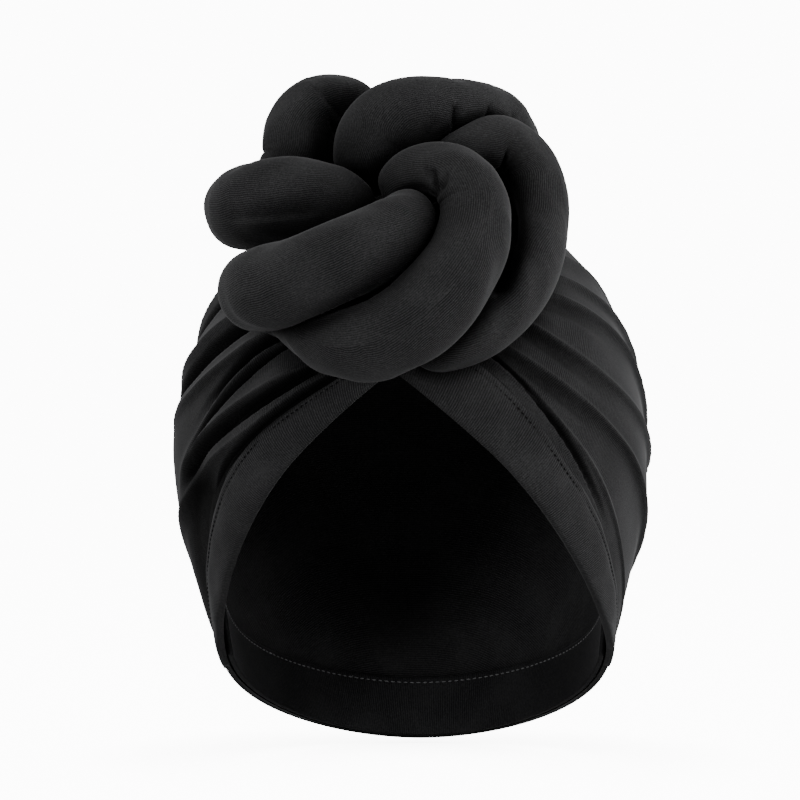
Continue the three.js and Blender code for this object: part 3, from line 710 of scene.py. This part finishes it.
def fine_strand(name, strand, path):
    length = curve_length(path)
    place, along, radius = even_curve(path, round(length / FINE_STEP), strand["radius"])
    tangent = unit(np.gradient(place, axis=0))
    side = np.zeros_like(tangent)
    carried = np.array([0.0, 0.0, 1.0])
    for k, direction in enumerate(tangent):
        carried = unit(carried - direction * (carried @ direction))
        side[k] = carried
    angle = np.linspace(0, 2 * math.pi, TUBE_SIDES, endpoint=False)[:, None]
    other = np.cross(tangent, side)
    spokes = side[:, None] * np.cos(angle) + other[:, None] * np.sin(angle)
    to_end = np.minimum(along, length - along) / (TUBE_DIAMETER / 2)
    round_end = np.sqrt(1 - (1 - np.minimum(to_end, 1)) ** 2)
    return {"name": name, "place": place, "along": along, "radius": radius, "spokes": spokes,
            "tangent": tangent, "round": np.maximum(round_end, LEAST_END)}


def swell(strand, everyone):
    reach = np.zeros(strand["spokes"].shape[:2])
    owner = np.concatenate([np.full(len(s["place"]), s is strand) for s in everyone])
    place = np.concatenate([s["place"] for s in everyone])
    along = np.concatenate([s["along"] for s in everyone])
    radius = np.concatenate([s["radius"] for s in everyone])
    for k, centre in enumerate(strand["place"]):
        own_radius = strand["radius"][k]
        near = np.linalg.norm(place - centre, axis=1) < own_radius + radius + 2 * TUBE_GAP
        away = np.where(owner[near], np.abs(along[near] - strand["along"][k]), 2 * TUBE_DIAMETER)
        stranger = smooth(SAME_BEND, NEXT_BEND, away)
        margin = (TUBE_GAP + radius[near] - own_radius) * stranger
        real = away > OWN_PLACE
        others, margin = place[near][real], margin[real]
        low, high = np.zeros(TUBE_SIDES), np.full(TUBE_SIDES, own_radius)
        for _ in range(SEARCH_STEPS):
            middle = (low + high) / 2
            test = centre + strand["spokes"][k] * middle[:, None]
            room = np.linalg.norm(test[:, None] - others, axis=2) - middle[:, None]
            fits = (room > margin).all(1) & (cap_clearance(test) > 0)
            low, high = np.where(fits, middle, low), np.where(fits, high, middle)
        surface = centre + strand["spokes"][k] * low[:, None]
        outward = unit(centre / np.array([CAP_HALF_WIDTH, CAP_FRONT, CAP_TOP]) ** 2)
        above = smooth(*PINCH_ABOVE, (others - centre) @ outward) * stranger[real]
        room = np.linalg.norm(surface[:, None] - others, axis=2) - radius[near][real]
        pinch = (above * (1 - smooth(0, PINCH_RANGE, room))).max(1)
        reach[k] = np.maximum(low - PINCH_DEPTH * pinch, LEAST_GIRTH)
    return reach


strands = [fine_strand(name, s, path) for name, s, path in zip(STRANDS, coarse, settled)]
for strand in strands:
    strand["reach"] = swell(strand, strands)
    print(strand["name"], strand["reach"].shape, "mean reach", round(float(strand["reach"].mean()), 2))

# %% [markdown]
# ## Creases on the tubes
# A stuffed tube wrinkles on the inside of a bend, where the jersey has nowhere to go, and it
# has a few sharper creases where the tying pulls it in. The small wrinkles follow the bend by
# themselves. The sharper ones are given as short lines in the front view.

# %% Wrinkles and placed creases
WRINKLE_DEPTH, WRINKLE_PITCH, WRINKLE_BENDS = 1.05, 6.5, (0.25, 1.0)
WRINKLE_DRIFT, DRIFT_LENGTH, WRINKLE_SLANT, SLANT_CHANGE = 0.35, 9.0, 0.25, 0.7
WRINKLE_SHARPNESS, INNER_POWER = 0.7, 1.5
LUMP_DEPTH, LUMP_LENGTH, LUMP_SEED, LUMP_MOST = 0.5, 17.0, 3, 0.12
FULL_SHARES, SOFTEN_PASSES, SOFTEN_MOST, CUT_LEAST = (0.75, 1.0), 3, 0.3, 0.8
CREASE_FACES, CREASE_END_DEPTH, CREASE_END_ROUND = (-0.1, 0.3), 0.35, 0.12
# x and z of both ends, depth and half width, in millimetres; first and last bound the part of
# the strand that is meant, in shares of its length; a shelf is how far the cloth to the right
# of the line stays low, and most have none
Crease = namedtuple("Crease", "x0 z0 x1 z1 depth half first last shelf", defaults=(0,))
CREASES = {
    "knot_strand_front": [
        Crease(7.2, 96.5, 8.0, 88.5, 2.3, 0.9, 0, 0.3),
        Crease(11.6, 94.5, 9.0, 89.5, 1.6, 0.9, 0, 0.3),
        Crease(4.6, 98.5, 6.4, 93.5, 0.9, 0.9, 0, 0.3),
        Crease(25.0, 100.0, 31.0, 89.0, 7.0, 4.2, 0.6, 1),
        Crease(30.5, 91.0, 32.5, 73.0, 9.0, 4.6, 0.6, 1),
        Crease(32.5, 77.0, 29.0, 59.0, 8.0, 4.2, 0.6, 1),
    ],
    "knot_strand_top": [
        Crease(15.6, 121.5, 15.2, 113.0, 2.6, 1.0, 0, 1),
        Crease(28.0, 122.5, 26.4, 117.0, 2.0, 0.9, 0, 1),
        Crease(36.4, 121.0, 35.4, 116.5, 1.0, 0.9, 0, 1),
        Crease(8.0, 116.0, 3.0, 107.0, 0.9, 1.4, 0, 1),
    ],
    "knot_strand_left": [
        Crease(-34.0, 130.5, -24.0, 118.5, 2.6, 0.8, 0.5, 1, 7.0),
        Crease(-28.5, 121.5, -23.8, 119.0, 1.1, 0.8, 0.5, 1),
        Crease(-29.5, 117.0, -24.5, 114.5, 1.0, 0.8, 0.5, 1),
        Crease(-29.0, 112.0, -24.0, 110.5, 0.9, 0.8, 0.5, 1),
        Crease(-61.0, 80.8, -36.0, 82.2, 1.1, 0.8, 0, 0.5, 4.0),
    ],
}


def crease_depth(strand, points):
    depth = np.zeros(points.shape[:2])
    front = smooth(*CREASE_FACES, -strand["spokes"][..., 1])
    place = (strand["along"] / strand["along"][-1])[:, None]
    for crease in CREASES[strand["name"]]:
        start, end = np.array([crease.x0, crease.z0]), np.array([crease.x1, crease.z1])
        run = end - start
        seen = points[..., [0, 2]] - start
        share = np.clip(seen @ run / (run @ run), 0, 1)
        away = np.linalg.norm(seen - share[..., None] * run, axis=-1)
        right = seen[..., 0] * run[1] - seen[..., 1] * run[0] < 0
        half = np.where(right & (crease.shelf > 0), crease.shelf, crease.half)
        arch = np.sin(math.pi * mix(CREASE_END_ROUND, 1 - CREASE_END_ROUND, share))
        meant = (place >= crease.first) & (place <= crease.last)
        dent = crease.depth * front * mix(CREASE_END_DEPTH, 1, arch) * meant
        depth = np.maximum(depth, dent * np.exp(-((away / half) ** 2)))
    return depth


def wrinkle_depth(strand):
    bend = np.gradient(strand["tangent"], strand["along"], axis=0)
    inner = np.maximum((strand["spokes"] * unit(bend)[:, None]).sum(-1), 0)
    tight = smooth(*WRINKLE_BENDS, np.linalg.norm(bend, axis=1) * strand["radius"])[:, None]
    angle = np.linspace(0, 2 * math.pi, TUBE_SIDES, endpoint=False)[None, :]
    along = strand["along"][:, None]
    phase = along / WRINKLE_PITCH
    slant = WRINKLE_SLANT * np.sin(2 * angle + phase * SLANT_CHANGE)
    phase = phase + WRINKLE_DRIFT * np.sin(along / DRIFT_LENGTH) + slant
    wave = 1 - np.abs(np.sin(math.pi * phase)) ** WRINKLE_SHARPNESS
    return WRINKLE_DEPTH * tight * inner**INNER_POWER * wave


def soften(reach, passes):
    for _ in range(passes):
        ends = np.concatenate([reach[:1], reach, reach[-1:]])
        along = (ends[:-2] + 2 * ends[1:-1] + ends[2:]) / 4
        reach = (np.roll(along, 1, 1) + 2 * along + np.roll(along, -1, 1)) / 4
    return reach


def strand_rings(strand):
    reach = np.minimum(soften(strand["reach"], SOFTEN_PASSES), strand["reach"] + SOFTEN_MOST)
    centre, spokes = strand["place"][:, None], strand["spokes"]
    points = centre + spokes * reach[..., None]
    full = smooth(*FULL_SHARES, reach / strand["radius"][:, None])
    lumps = LUMP_DEPTH * full * soft_waves(points, LUMP_LENGTH, LUMP_SEED)
    cut = wrinkle_depth(strand) + crease_depth(strand, points)
    reach = np.maximum(reach + np.minimum(lumps, LUMP_MOST) - cut, LEAST_GIRTH * CUT_LEAST)
    return centre + spokes * (reach * strand["round"][:, None])[..., None]


tubes = [tube_piece(strand["name"].replace("knot_strand", "stuffed_tube"), strand_rings(strand))
         for strand in strands]

# %% [markdown]
# ## Helpers for nodes
# Stitches and materials are both built from nodes. `feed` fills a node's inputs from a
# dictionary: a number or colour is set, a socket is linked, and a whole node stands for the
# first of its outputs that is in use.

# %% Make nodes, feed them, and start a group
def feed(node, inputs):
    for key, value in inputs.items():
        if isinstance(value, bpy.types.Node):
            value = next(socket for socket in value.outputs if socket.enabled)
        if isinstance(value, bpy.types.NodeSocket):
            node.id_data.links.new(value, node.inputs[key])
        else:
            node.inputs[key].default_value = value
    return node


def add_node(tree, kind, inputs=None, **settings):
    node = tree.nodes.new(kind)
    for key, value in settings.items():
        setattr(node, key, value)
    return feed(node, inputs or {})


def add_math(tree, operation, *values, clamp=False):
    values = dict(enumerate(values))
    return add_node(tree, "ShaderNodeMath", values, operation=operation, use_clamp=clamp)


def new_group(name, kind, inputs, outputs):
    """A group, what its inputs give inside it, and the node that takes its results."""
    tree = bpy.data.node_groups.new(name, kind + "NodeTree")
    for title, socket, value in inputs:
        item = tree.interface.new_socket(title, in_out="INPUT", socket_type="NodeSocket" + socket)
        if value is not None:
            item.default_value = value
    for title, socket in outputs:
        tree.interface.new_socket(title, in_out="OUTPUT", socket_type="NodeSocket" + socket)
    return tree, tree.nodes.new("NodeGroupInput").outputs, tree.nodes.new("NodeGroupOutput")


# %% [markdown]
# ## Stitches
# A sewn row is one stitch repeated along a line, which is what Geometry Nodes are best at. The
# tree below resamples a line by the stitch pitch, sets one small rounded stitch on each point,
# lays it along the line and flat on the cloth, and turns each a little at random.

# %% The stitch tree, built once with named inputs
STITCH_INPUTS = [
    ("Geometry", "Geometry", None), ("Pitch", "Float", 2.5 * MM), ("Length", "Float", 1.7 * MM),
    ("Width", "Float", 0.5 * MM), ("Height", "Float", 0.4 * MM), ("Unevenness", "Float", 0.12),
    ("Seed", "Int", 7), ("Thread", "Material", None),
]


def stitch_tree():
    tree, given, result = new_group("stitch_row", "Geometry", STITCH_INPUTS, [("Geometry", "Geometry")])
    curve = add_node(tree, "GeometryNodeMeshToCurve", {"Mesh": given["Geometry"]})
    points = add_node(tree, "GeometryNodeResampleCurve",
                      {"Curve": curve, "Length": given["Pitch"]}, mode="LENGTH")
    ball = add_node(tree, "GeometryNodeMeshUVSphere", {"Segments": 10, "Rings": 6, "Radius": 0.5})
    size = add_node(tree, "ShaderNodeCombineXYZ",
                    {"X": given["Length"], "Y": given["Width"], "Z": given["Height"]})
    stitch = add_node(tree, "GeometryNodeTransform", {"Geometry": ball, "Scale": size})
    tangent = add_node(tree, "GeometryNodeInputTangent")
    outward = add_node(tree, "GeometryNodeInputNamedAttribute", {"Name": "outward"}, data_type="FLOAT_VECTOR")
    along = add_node(tree, "FunctionNodeAlignRotationToVector", {"Vector": tangent}, axis="X")
    flat = add_node(tree, "FunctionNodeAlignRotationToVector", {"Rotation": along, "Vector": outward},
                    axis="Z", pivot_axis="X")
    least = add_math(tree, "MULTIPLY", given["Unevenness"], -1)
    chance = add_node(tree, "FunctionNodeRandomValue",
                      {2: least, 3: given["Unevenness"], "Seed": given["Seed"]}, data_type="FLOAT")
    angles = add_node(tree, "ShaderNodeCombineXYZ", {"Z": chance.outputs[1]})
    turn = add_node(tree, "FunctionNodeEulerToRotation", {"Euler": angles})
    turned = add_node(tree, "FunctionNodeRotateRotation", {"Rotation": flat, "Rotate By": turn},
                      rotation_space="LOCAL")
    row = add_node(tree, "GeometryNodeInstanceOnPoints",
                   {"Points": points, "Instance": stitch, "Rotation": turned})
    row = add_node(tree, "GeometryNodeRealizeInstances", {"Geometry": row})
    row = add_node(tree, "GeometryNodeSetMaterial", {"Geometry": row, "Material": given["Thread"]})
    feed(result, {"Geometry": row})
    return tree


STITCH_TREE = stitch_tree()

# %% [markdown]
# ## Knit, fuzz, hollows and twist, as node groups
# Seen close, jersey is rows of tiny loops that make fine ribs. The knit group reads the piece's
# own cloth coordinates, in metres, and gives a height for the bump and a mask for the valleys
# between ribs, which the materials darken as painted shade. The fuzz group gives grain, lint and
# a slow change of tone. The hollow group says how open a place is, and the materials darken
# their colour by it deep between folds and in grooves, a painted shade.

# %% Shader node groups shared by the materials
DRIFT_SCALE, PATCH_FROM, PATCH_TO, LOOP_SHARE, VALLEY_SHADE_POWER = 90, 0.36, 0.64, 0.35, 2.0
TONE_SCALE, SPECK_SCALE, SPECK_SMALLNESS, SPECK_RARITY = 28, 620, 3.2, 5.0
PAINTED_SHADE_SAMPLES = 6


def ridges(tree, turns):
    """Rounded ridges from 0 to 1, one for each whole turn."""
    wave = add_math(tree, "SINE", add_math(tree, "MULTIPLY", turns, 2 * math.pi))
    return add_math(tree, "MULTIPLY_ADD", wave, 0.5, 0.5)


def knit_group():
    tree, given, result = new_group("jersey_knit", "Shader", [
        ("Cloth", "Vector", None), ("Rib pitch", "Float", 0.9 * MM), ("Loop pitch", "Float", 0.7 * MM),
        ("Waver", "Float", 0.35), ("Patch scale", "Float", 45.0), ("Least rib", "Float", 0.3),
    ], [("Height", "Float"), ("Valley shade", "Float")])
    split = add_node(tree, "ShaderNodeSeparateXYZ", {0: given["Cloth"]})
    drift = add_node(tree, "ShaderNodeTexNoise",
                     {"Vector": given["Cloth"], "Scale": DRIFT_SCALE, "Detail": 1})
    shift = add_math(tree, "MULTIPLY", drift, given["Waver"])
    rib = add_math(tree, "DIVIDE", split.outputs["X"], given["Rib pitch"])
    rib = ridges(tree, add_math(tree, "ADD", rib, shift))
    loop = ridges(tree, add_math(tree, "DIVIDE", split.outputs["Y"], given["Loop pitch"]))
    patches = add_node(tree, "ShaderNodeTexNoise",
                       {"Vector": given["Cloth"], "Scale": given["Patch scale"], "Detail": 2})
    clear = add_node(tree, "ShaderNodeMapRange", {
        "Value": patches, "From Min": PATCH_FROM, "From Max": PATCH_TO, "To Min": given["Least rib"]})
    plain = add_math(tree, "MULTIPLY", rib, 1 - LOOP_SHARE)
    looped = add_math(tree, "MULTIPLY", rib, loop)
    mound = add_math(tree, "MULTIPLY_ADD", looped, LOOP_SHARE, plain)
    # the valleys between ribs, which the materials darken as painted shade
    valley_shade = add_math(tree, "POWER", add_math(tree, "SUBTRACT", 1.0, rib, clamp=True), VALLEY_SHADE_POWER)
    feed(result, {"Height": add_math(tree, "MULTIPLY", mound, clear),
                  "Valley shade": add_math(tree, "MULTIPLY", valley_shade, clear)})
    return tree


def fuzz_group():
    """Short fibres and lint: a fine grain, sparse light specks and a slow change of tone."""
    tree, given, result = new_group("jersey_fuzz", "Shader", [
        ("Position", "Vector", None), ("Grain scale", "Float", 1500.0), ("Speck amount", "Float", 0.3),
    ], [("Grain", "Float"), ("Specks", "Float"), ("Tone", "Float")])
    here = {"Vector": given["Position"]}
    grain = add_node(tree, "ShaderNodeTexNoise",
                     {**here, "Scale": given["Grain scale"], "Detail": 3, "Roughness": 0.65})
    tone = add_node(tree, "ShaderNodeTexNoise", {**here, "Scale": TONE_SCALE, "Detail": 3})
    specks = add_node(tree, "ShaderNodeTexVoronoi", {**here, "Scale": SPECK_SCALE})
    far = add_math(tree, "MULTIPLY", specks.outputs["Distance"], SPECK_SMALLNESS)
    near = add_math(tree, "SUBTRACT", 1.0, far, clamp=True)
    chance = add_node(tree, "ShaderNodeSeparateColor", {0: specks.outputs["Color"]})
    rare = add_math(tree, "POWER", chance, SPECK_RARITY)
    spot = add_math(tree, "MULTIPLY", add_math(tree, "MULTIPLY", near, rare), given["Speck amount"])
    feed(result, {"Grain": grain, "Specks": spot, "Tone": tone})
    return tree


def painted_shade_group():
    """How open each place is, from 1 in the open to 0 deep between folds or in a groove; the materials darken
    their colour by it, a painted shade.
    """
    tree, given, result = new_group("jersey_painted_shade", "Shader", [
        ("Reach", "Float", 10 * MM), ("Power", "Float", 1.6),
        ("Groove", "Float", 0.0), ("Groove darkness", "Float", 0.97),
    ], [("Open", "Float")])
    around = add_node(tree, "ShaderNodeAmbientOcclusion", {"Distance": given["Reach"]},
                      samples=PAINTED_SHADE_SAMPLES)
    reached = add_math(tree, "POWER", around.outputs["AO"], given["Power"])
    dark = add_math(tree, "MULTIPLY", given["Groove"], given["Groove darkness"])
    light = add_math(tree, "SUBTRACT", 1.0, dark, clamp=True)
    feed(result, {"Open": add_math(tree, "MULTIPLY", reached, light)})
    return tree


def twist_group():
    """The fine turns of a sewing thread."""
    tree, given, result = new_group("thread_twist", "Shader", [
        ("Position", "Vector", None), ("Turns", "Float", 900.0), ("Unevenness", "Float", 2.0),
    ], [("Twist", "Float")])
    wave = add_node(tree, "ShaderNodeTexWave", {
        "Vector": given["Position"], "Scale": given["Turns"], "Distortion": given["Unevenness"]})
    feed(result, {"Twist": wave.outputs["Fac"]})
    return tree


KNIT, FUZZ, PAINTED_SHADE, TWIST = knit_group(), fuzz_group(), painted_shade_group(), twist_group()
print("shader groups:", KNIT.name, FUZZ.name, PAINTED_SHADE.name, TWIST.name)

# %% [markdown]
# ## The jersey materials
# Black cotton jersey is not plain black: its fibres catch light at the edges. A little sheen and
# a paler colour painted where the cloth is seen edge-on, a painted sheen, stand for them, and the
# hollow group darkens the colour in the deep places as painted shade. The crown, the folded
# bands, the knot and the nape band share the groups and differ in scale and tone; the nape
# band's darker tone is painted shade for the inside of the cap.

# %% One function makes each jersey, another the threads
# dark, light and edge sheen are greys, edge sheen being the painted sheen where the cloth is
# seen edge-on; sheen is a share; pitch, bumps and the painted shade's size are millimetres
Jersey = namedtuple("Jersey", "dark light fibre sheen rib_pitch rib_bump grain_bump swap "
                              "hollow_size hollow_power")
JERSEYS = {
    "crown_jersey": Jersey(0.010, 0.041, 0.09, 0.035, 0.9, 0.16, 0.16, True, 11, 1.8),
    "band_jersey": Jersey(0.0112, 0.045, 0.09, 0.05, 0.9, 0.20, 0.14, True, 5, 1.6),
    "knot_jersey": Jersey(0.0115, 0.050, 0.09, 0.055, 0.8, 0.20, 0.20, False, 24, 2.4),
    # the nape band's jersey is the band jersey made darker: painted shade for the inside of the cap
    "nape_jersey_shaded": Jersey(0.0065, 0.028, 0.06, 0.04, 0.9, 0.20, 0.14, True, 5, 1.6),
}
DARK_BLUE, LIGHT_BLUE, EDGE_SHEEN_BLUE = 0.0005, 0.001, 0.002
GRAIN_TONE, SLOW_TONE, VALLEY_SHADE_TONE, TONE_FLOOR = 1.5, 0.5, -0.8, 0.46
EDGE_SHEEN_POWER, SPECK_BUMP, LEAST_ROUGH, GRAIN_ROUGH = 6.0, 0.6, 0.8, 0.16


def new_material(name):
    material = bpy.data.materials.new(name)
    material.use_nodes = True
    return material, material.node_tree, material.node_tree.nodes["Principled BSDF"]


def grey(value, blue):
    return (value, value, value + blue, 1)


def jersey_material(name, look):
    material, tree, shader = new_material(name)
    cloth, place = add_node(tree, "ShaderNodeUVMap", uv_map="cloth"), add_node(tree, "ShaderNodeTexCoord")
    turned = add_node(tree, "ShaderNodeMapping",
                      {"Vector": cloth, "Rotation": (0, 0, math.pi / 2 if look.swap else 0)})
    knit = add_node(tree, "ShaderNodeGroup", {"Cloth": turned, "Rib pitch": look.rib_pitch * MM},
                    node_tree=KNIT)
    fuzz = add_node(tree, "ShaderNodeGroup", {"Position": place.outputs["Object"]}, node_tree=FUZZ)
    grain, specks, slow = (fuzz.outputs[key] for key in ("Grain", "Specks", "Tone"))
    tone = add_math(tree, "MULTIPLY_ADD", grain, GRAIN_TONE, specks)
    tone = add_math(tree, "MULTIPLY_ADD", slow, SLOW_TONE, tone)
    # darker colour in the rib valleys: painted shade
    tone = add_math(tree, "MULTIPLY_ADD", knit.outputs["Valley shade"], VALLEY_SHADE_TONE, tone)
    tone = add_math(tree, "SUBTRACT", tone, TONE_FLOOR, clamp=True)
    colour = add_node(tree, "ShaderNodeMix", {
        "Factor": tone, "A": grey(look.dark, DARK_BLUE), "B": grey(look.light, LIGHT_BLUE)}, data_type="RGBA")
    # a paler colour where the cloth is seen edge-on: a painted sheen
    edge = add_node(tree, "ShaderNodeLayerWeight", {"Blend": 0.5})
    edge_on = add_math(tree, "POWER", edge.outputs["Facing"], EDGE_SHEEN_POWER)
    painted_edge_sheen = add_node(tree, "ShaderNodeMix", {
        "Factor": edge_on, "A": colour, "B": grey(look.fibre, EDGE_SHEEN_BLUE)}, data_type="RGBA")
    groove = add_node(tree, "ShaderNodeAttribute", attribute_name="groove")
    # the colour is multiplied by how open each place is: painted shade deep between folds and in grooves
    hollow = add_node(tree, "ShaderNodeGroup", {
        "Reach": look.hollow_size * MM, "Power": look.hollow_power,
        "Groove": groove.outputs["Fac"]}, node_tree=PAINTED_SHADE)
    deep = add_node(tree, "ShaderNodeMix", {"Factor": 1.0, "A": painted_edge_sheen, "B": hollow},
                    data_type="RGBA", blend_type="MULTIPLY")
    ribbed = add_node(tree, "ShaderNodeBump", {
        "Strength": 1.0, "Distance": look.rib_bump * MM, "Height": knit.outputs["Height"]})
    fuzzy = add_node(tree, "ShaderNodeBump", {
        "Strength": 0.8, "Distance": look.grain_bump * MM, "Normal": ribbed,
        "Height": add_math(tree, "MULTIPLY_ADD", specks, SPECK_BUMP, grain)})
    feed(shader, {
        "Base Color": deep, "Normal": fuzzy,
        "Roughness": add_math(tree, "MULTIPLY_ADD", grain, GRAIN_ROUGH, LEAST_ROUGH),
        "Specular IOR Level": 0.05, "Sheen Weight": look.sheen, "Sheen Roughness": 0.42,
        "Sheen Tint": (0.62, 0.62, 0.64, 1)})
    return material


def thread_material(name, dark, light, shine):
    material, tree, shader = new_material(name)
    place = add_node(tree, "ShaderNodeTexCoord")
    twist = add_node(tree, "ShaderNodeGroup", {"Position": place.outputs["Object"]}, node_tree=TWIST)
    colour = add_node(tree, "ShaderNodeMix", {
        "Factor": twist, "A": (dark, dark, dark * 1.05, 1), "B": (light, light, light * 1.04, 1),
    }, data_type="RGBA")
    bump = add_node(tree, "ShaderNodeBump", {"Distance": 0.05 * MM, "Height": twist})
    feed(shader, {"Base Color": colour, "Normal": bump, "Roughness": 0.7,
                  "Sheen Weight": shine, "Specular IOR Level": shine})
    return material


cloths = {name: jersey_material(name, look) for name, look in JERSEYS.items()}
thread = thread_material("topstitch_thread", 0.06, 0.16, 0.3)
dark_thread = thread_material("seam_thread", 0.002, 0.006, 0.0)
wearers = {"crown_jersey": [crown], "band_jersey": bands, "knot_jersey": tubes, "nape_jersey_shaded": [nape]}
for name, pieces in wearers.items():
    for piece in pieces:
        piece.data.materials.append(cloths[name])
print("materials:", [m.name for m in bpy.data.materials])

# %% [markdown]
# ## Sewn rows
# The nape band is topstitched just below its upper edge, with a thread that shows a little
# lighter than the cloth. The folded bands are held by a finer, almost hidden row along their
# groove. Each row is a bare line of points that the stitch tree turns into stitches.

# %% Lines for the sewn rows, and their stitches
STITCH_LIFT = 0.12
NAPE_ROW_POINTS, NAPE_ROW_ENDS, NAPE_ROW_DEPTH = 400, 6, 0.88
BAND_ROW, BAND_ROW_ACROSS, BAND_ROW_LEVEL = (0.03, 0.985, 300), 0.16, 0.42
BAND_STITCH = {"Length": 1.3 * MM, "Width": 0.35 * MM, "Height": 0.3 * MM, "Pitch": 2.2 * MM}


def sewn_row(name, line, outward, settings):
    mesh = bpy.data.meshes.new(name + "_line")
    places = ((line + outward * STITCH_LIFT + FRAME_SHIFT) * MM).tolist()
    mesh.from_pydata(places, [(k, k + 1) for k in range(len(places) - 1)], [])
    attribute = mesh.attributes.new("outward", "FLOAT_VECTOR", "POINT")
    attribute.data.foreach_set("vector", np.asarray(outward).ravel())
    source = add_object(name + "_line", mesh)
    modifier = source.modifiers.new("stitches", "NODES")
    modifier.node_group = STITCH_TREE
    for item in STITCH_TREE.interface.items_tree:
        if item.in_out == "INPUT" and item.name in settings:
            modifier[item.identifier] = settings[item.name]
    graph = bpy.context.evaluated_depsgraph_get()
    result = bpy.data.meshes.new_from_object(source.evaluated_get(graph))
    result.name = name
    row = add_object(name, result)
    bpy.data.objects.remove(source)
    result.shade_smooth()
    print(f"{name}: {len(result.polygons)} faces")
    return row


angle = nape_angles(NAPE_ROW_POINTS)[NAPE_ROW_ENDS:-NAPE_ROW_ENDS]
q = direction_at(angle, hem_height(angle) + NAPE_HEIGHT * NAPE_STITCH_SHARE)
inward = -cap_normal(q)
lean = NAPE_STAND_OFF * smooth(NAPE_LOOSE_ANGLE, NAPE_END_ANGLE, np.abs(angle)) * NAPE_STITCH_SHARE
nape_line = cap_point(q) + inward * (WALL + NAPE_GAP + NAPE_ROW_DEPTH * NAPE_THICKNESS + lean)[:, None]
rows = [sewn_row("nape_stitches", nape_line, inward, {"Thread": thread})]
for edge, name in ((LEFT, "band_stitches_left"), (RIGHT, "band_stitches_right")):
    t = np.linspace(*BAND_ROW)
    q = sweep(edge, mix(seam_share(edge, t), 1, BAND_ROW_ACROSS), t)
    out = cap_normal(q)
    line = cap_point(q) + out * BAND_ROW_LEVEL * BAND_RISE
    rows.append(sewn_row(name, line, out, {"Thread": dark_thread, **BAND_STITCH}))

# %% [markdown]
# ## Camera, floor and light
# The camera looks level at the turban from 1.3 metres, as in a catalogue picture. It sees the
# floor and the room as white, but neither lights the cloth much. Seven soft lights do. Near the
# turban the floor's white is darkened into a soft painted shadow. Black cloth is shown by the
# light that grazes its edges, so most of the lights stand to the sides, above or behind, and two
# low ones light the front.

# %% Camera
CAMERA_PLACE = (-0.0044, -1.300, -0.0795)
camera_data = bpy.data.cameras.new("camera")
camera_data.sensor_width, camera_data.lens = 36, 157.95
camera = add_object("camera", camera_data)
camera.location = CAMERA_PLACE
camera.rotation_euler = (math.pi / 2, 0, 0)
bpy.context.scene.camera = camera

# %% Floor, world and lights
FLOOR_Z = -(NAPE_DROP + CAP_TOP - WALL) * MM - 0.0015
FLOOR_HALF, FLOOR_SHADE, SHADE_REACH = 12.0, 0.35, 0.07
WHITE, ROOM_LIGHT = 12.0, 0.02
MIDDLE = (0, 0, -0.09)
# name, place, width and height, power
LIGHTS = [
    ("top_left", (-0.7, -0.1, 1.15), (0.8, 0.8), 10.5),
    ("side_right", (1.25, -0.05, 0.25), (0.8, 1.3), 20),
    ("back_right", (1.1, 0.7, 0.1), (0.5, 1.2), 9),
    ("rim_left", (-1.15, 0.55, 0.15), (0.5, 1.2), 7),
    ("low_left", (-0.88, -1.25, -0.06), (0.35, 0.7), 15),
    ("low_right", (0.95, -1.2, -0.06), (0.35, 0.7), 10),
    ("top_back", (0.0, 0.6, 1.3), (0.9, 0.9), 2),
]


def camera_or_light(tree, seen, lit):
    """A strength for what the camera sees directly and another for the light it gives."""
    path = add_node(tree, "ShaderNodeLightPath")
    return add_node(tree, "ShaderNodeMix", {"Factor": path.outputs["Is Camera Ray"], "A": lit, "B": seen})


def make_floor():
    mesh = bpy.data.meshes.new("floor")
    size = FLOOR_HALF
    corners = [(x, y, FLOOR_Z) for x, y in ((-size, -size), (size, -size), (size, size), (-size, size))]
    mesh.from_pydata(corners, [], [(0, 1, 2, 3)])
    material, tree, shader = new_material("pale_floor")
    # the floor's white, as the camera sees it, is darkened near the turban by ambient occlusion: a painted
    # contact shadow
    open_sky = add_node(tree, "ShaderNodeAmbientOcclusion", {"Distance": SHADE_REACH})
    glow_with_painted_shadow = add_math(tree, "MULTIPLY_ADD", open_sky.outputs["AO"],
                    WHITE * (1 - FLOOR_SHADE), WHITE * FLOOR_SHADE)
    feed(shader, {
        "Base Color": (0.45, 0.45, 0.45, 1), "Roughness": 0.9, "Specular IOR Level": 0.0,
        "Emission Color": (1, 1, 1, 1), "Emission Strength": camera_or_light(tree, glow_with_painted_shadow, 0.0)})
    mesh.materials.append(material)
    return add_object("floor", mesh)


def soft_light(name, place, size, power):
    data = bpy.data.lights.new(name, "AREA")
    data.shape, data.energy = "RECTANGLE", power
    data.size, data.size_y = size
    light = add_object(name, data)
    light.location = place
    x, y, z = np.array(MIDDLE) - np.array(place)
    light.rotation_euler = (math.pi / 2 + math.atan2(z, math.hypot(x, y)), 0, math.atan2(-x, y))


floor = make_floor()
world = bpy.data.worlds.new("white_room")
world.use_nodes = True
feed(world.node_tree.nodes["Background"], {
    "Color": (1, 1, 1, 1), "Strength": camera_or_light(world.node_tree, WHITE, ROOM_LIGHT)})
bpy.context.scene.world = world
for light in LIGHTS:
    soft_light(*light)
print("lights:", [light[0] for light in LIGHTS])

# %% [markdown]
# ## Hand the pieces to the frame
# Last, each piece is made to move with the root body, and the CAD parts that the pieces stand in
# for are hidden.

# %% Ride with the root and hide the CAD parts
for piece in [crown, nape, *bands, *tubes, *rows]:
    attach(piece, "root")
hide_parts("crown_shell")
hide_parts("nape_band")
for band, node in zip(bands, ("front_band_left", "front_band_right")):
    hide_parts(node)
for tube, node in zip(tubes, STRANDS):
    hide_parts(node)
